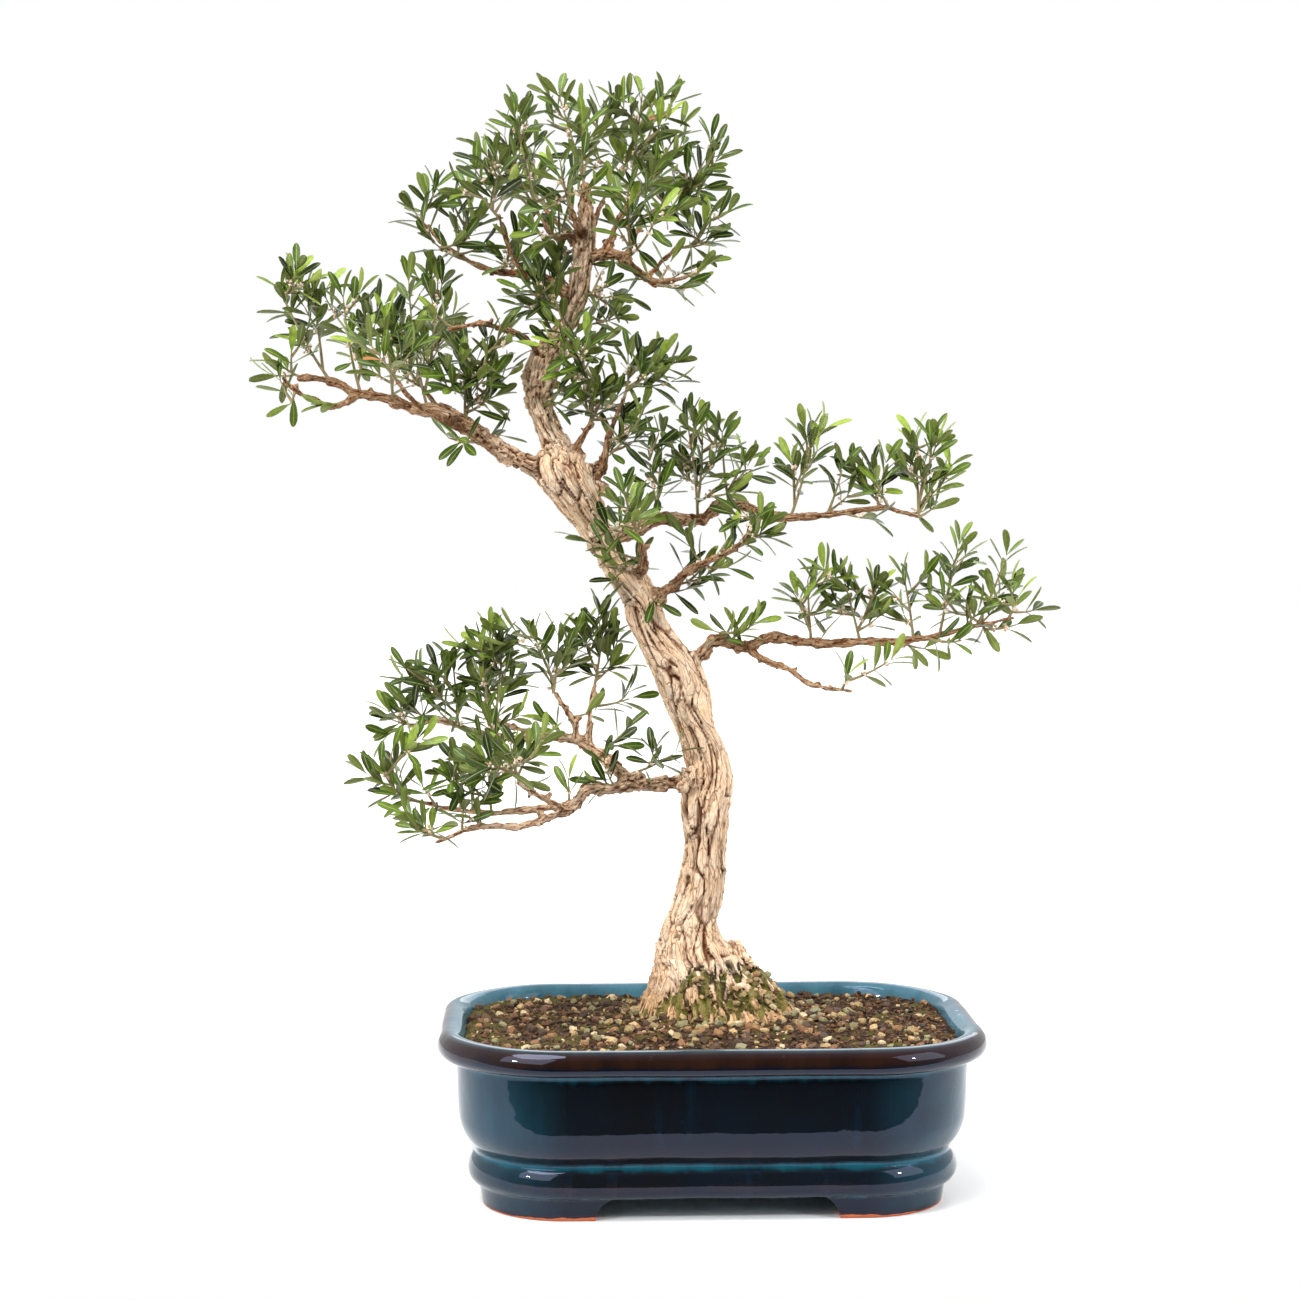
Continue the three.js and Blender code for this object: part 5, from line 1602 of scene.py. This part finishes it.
def wood_hosts(group, sprays):
    """Places on a group's own limbs where a further shoot may sprout, each with the nearest spray."""
    spots = []
    for parent in dict.fromkeys(plant[0] for plant in SPRAYS[group]):
        for row in LINES[parent][2::3]:
            if parent != "trunk" or row[2] > LEAFY_TRUNK:
                owner = min(sprays, key=lambda spray: np.linalg.norm(spray.base - row[:3]))
                spots.append((owner, np.array([row[:3], row[:3]])))
    return spots


def more_line(tip, hosts, name):
    """A further shoot that ends at a tip of the drawing. It forks from the main shoot that suits it."""
    draw = draws(name)
    best, found = 1e9, None
    for spray, line in hosts:
        for i in range(1, len(line)):
            u, w = drawn(Vector(line[i]))
            away = math.hypot(tip[0] - u, tip[1] - w)
            cost = abs(away - FORK_REACH) + 1.6 * max(0, 6 - (tip[1] - w)) + 6 * next(draw)
            if cost < best:
                best, found = cost, (spray, line[i])
    spray, start = found
    depth = start[1] + 44 * (next(draw) - 0.62)
    return spray, main_line(start, placed(tip[0], tip[1], depth), draw)


def leaf_finish():
    material, surface, place = new_finish("boxwood_leaf", Specular_IOR_Level=0.24)
    tone, across, under = (stored(surface, name) for name in ("tone", "across", "under"))
    deep = blend(stretch(tone, 0.05, 0.5), rgb(19, 34, 10), rgb(72, 96, 26))
    fresh = blend(stretch(tone, 0.45, 0.95), deep, rgb(142, 164, 60))
    mottle = stretch(clouds(place, 260, 3), 0.3, 0.7, 0.82, 1.14)
    shaded = add(surface, "HueSaturation", {"Value": mottle, "Color": fresh}).outputs["Color"]
    pale = blend(0.5, shaded, rgb(144, 154, 84))
    sides = blend(worked("GREATER_THAN", under, 0.5), shaded, pale)
    dead = worked("LESS_THAN", tone, -0.5)
    sides = blend(dead, sides, rgb(180, 118, 74))
    midrib = stretch(across, 0.2, 0.04)
    veined = blend(times(midrib, 0.5), sides, rgb(170, 180, 96))
    gloss = stretch(clouds(place, 500, 2), 0.3, 0.7, 0.34, 0.5)
    paint(surface, Base_Color=veined, Roughness=gloss)
    roughen(surface, clouds(place, 600, 3), 0.15, 0.0004)
    return material


def twig_finish():
    material, surface, place = new_finish("young_twig", Roughness=0.7)
    grain = clouds(place, 500, 3)
    old = blend(grain, rgb(128, 98, 74), rgb(176, 144, 112))
    young = blend(grain, rgb(110, 118, 72), rgb(150, 150, 96))
    paint(surface, Base_Color=blend(stored(surface, "tone"), old, young))
    return material


def bud_finish():
    material, surface, _ = new_finish("dry_buds", Roughness=0.85)
    straw = blend(stored(surface, "tone"), rgb(214, 182, 156), rgb(240, 226, 204))
    paint(surface, Base_Color=straw)
    return material


def main_shoots(group):
    """The sprays of a group, and their main shoots as pairs of a spray and a line."""
    sprays, shoots = [], []
    for number, (parent, at, tips) in enumerate(SPRAYS[group]):
        node = f"{group}_spray_{number + 1:02d}"
        draw = draws(node)
        base = nearest(parent, *at)
        spray = Spray(node, base[:3])
        first = main_line(base[:3], placed(*tips[0]), draw)
        fork = first[min(len(first) - 1, round((base[3] + FORK) / SHOOT_STEP))]
        lines = [first] + [main_line(fork, placed(*tip), draw) for tip in tips[1:]]
        sprays.append(spray)
        shoots += [(spray, line) for line in lines]
    return sprays, shoots


def finish_spray(spray, finishes):
    piece = start_piece(spray.node.replace("spray", "leaves"), *join_meshes(spray.parts))
    for name in ("tone", "across", "under"):
        store(piece, name, getattr(spray, name))
    for finish in finishes:
        piece.data.materials.append(finish)
    piece.data.polygons.foreach_set("material_index", np.array(spray.kind, np.int32))
    smooth_by_angle(piece, 50)
    done(piece, SLOTS[spray.node], spray.node)


def make_sprays():
    """All shoots are laid out first. Then the main ones of a group get their leaves, which take
    their room, before its side shoots get theirs."""
    finishes = [leaf_finish(), twig_finish(), bud_finish()]
    shapes = [leaf_shape(arch, fold) for arch, fold in LEAF_SHAPES]
    room = Room()
    sprays, shoots = [], []
    for group in SPRAYS:
        own, hosts = main_shoots(group)
        bare = wood_hosts(group, own)
        for number, tip in enumerate(MORE_TIPS[group]):
            hosts.append(more_line(tip, hosts + bare, f"{group} tip {number}"))
        shoots += [(spray, line, MAIN_SHOOT) for spray, line in hosts]
        shoots += [(spray, side, SIDE_SHOOT) for spray, line in hosts for side in side_shoots(spray, line)]
        sprays += own
    for spray, line, order in shoots:
        grow_shoot(spray, line, order, shapes, room)
    for spray in sprays:
        finish_spray(spray, finishes)


set_camera()
set_light()
lay_floor()
make_pot()
finish_screens()
make_wood()
make_soil()
make_gravel()
make_moss()
make_sprays()
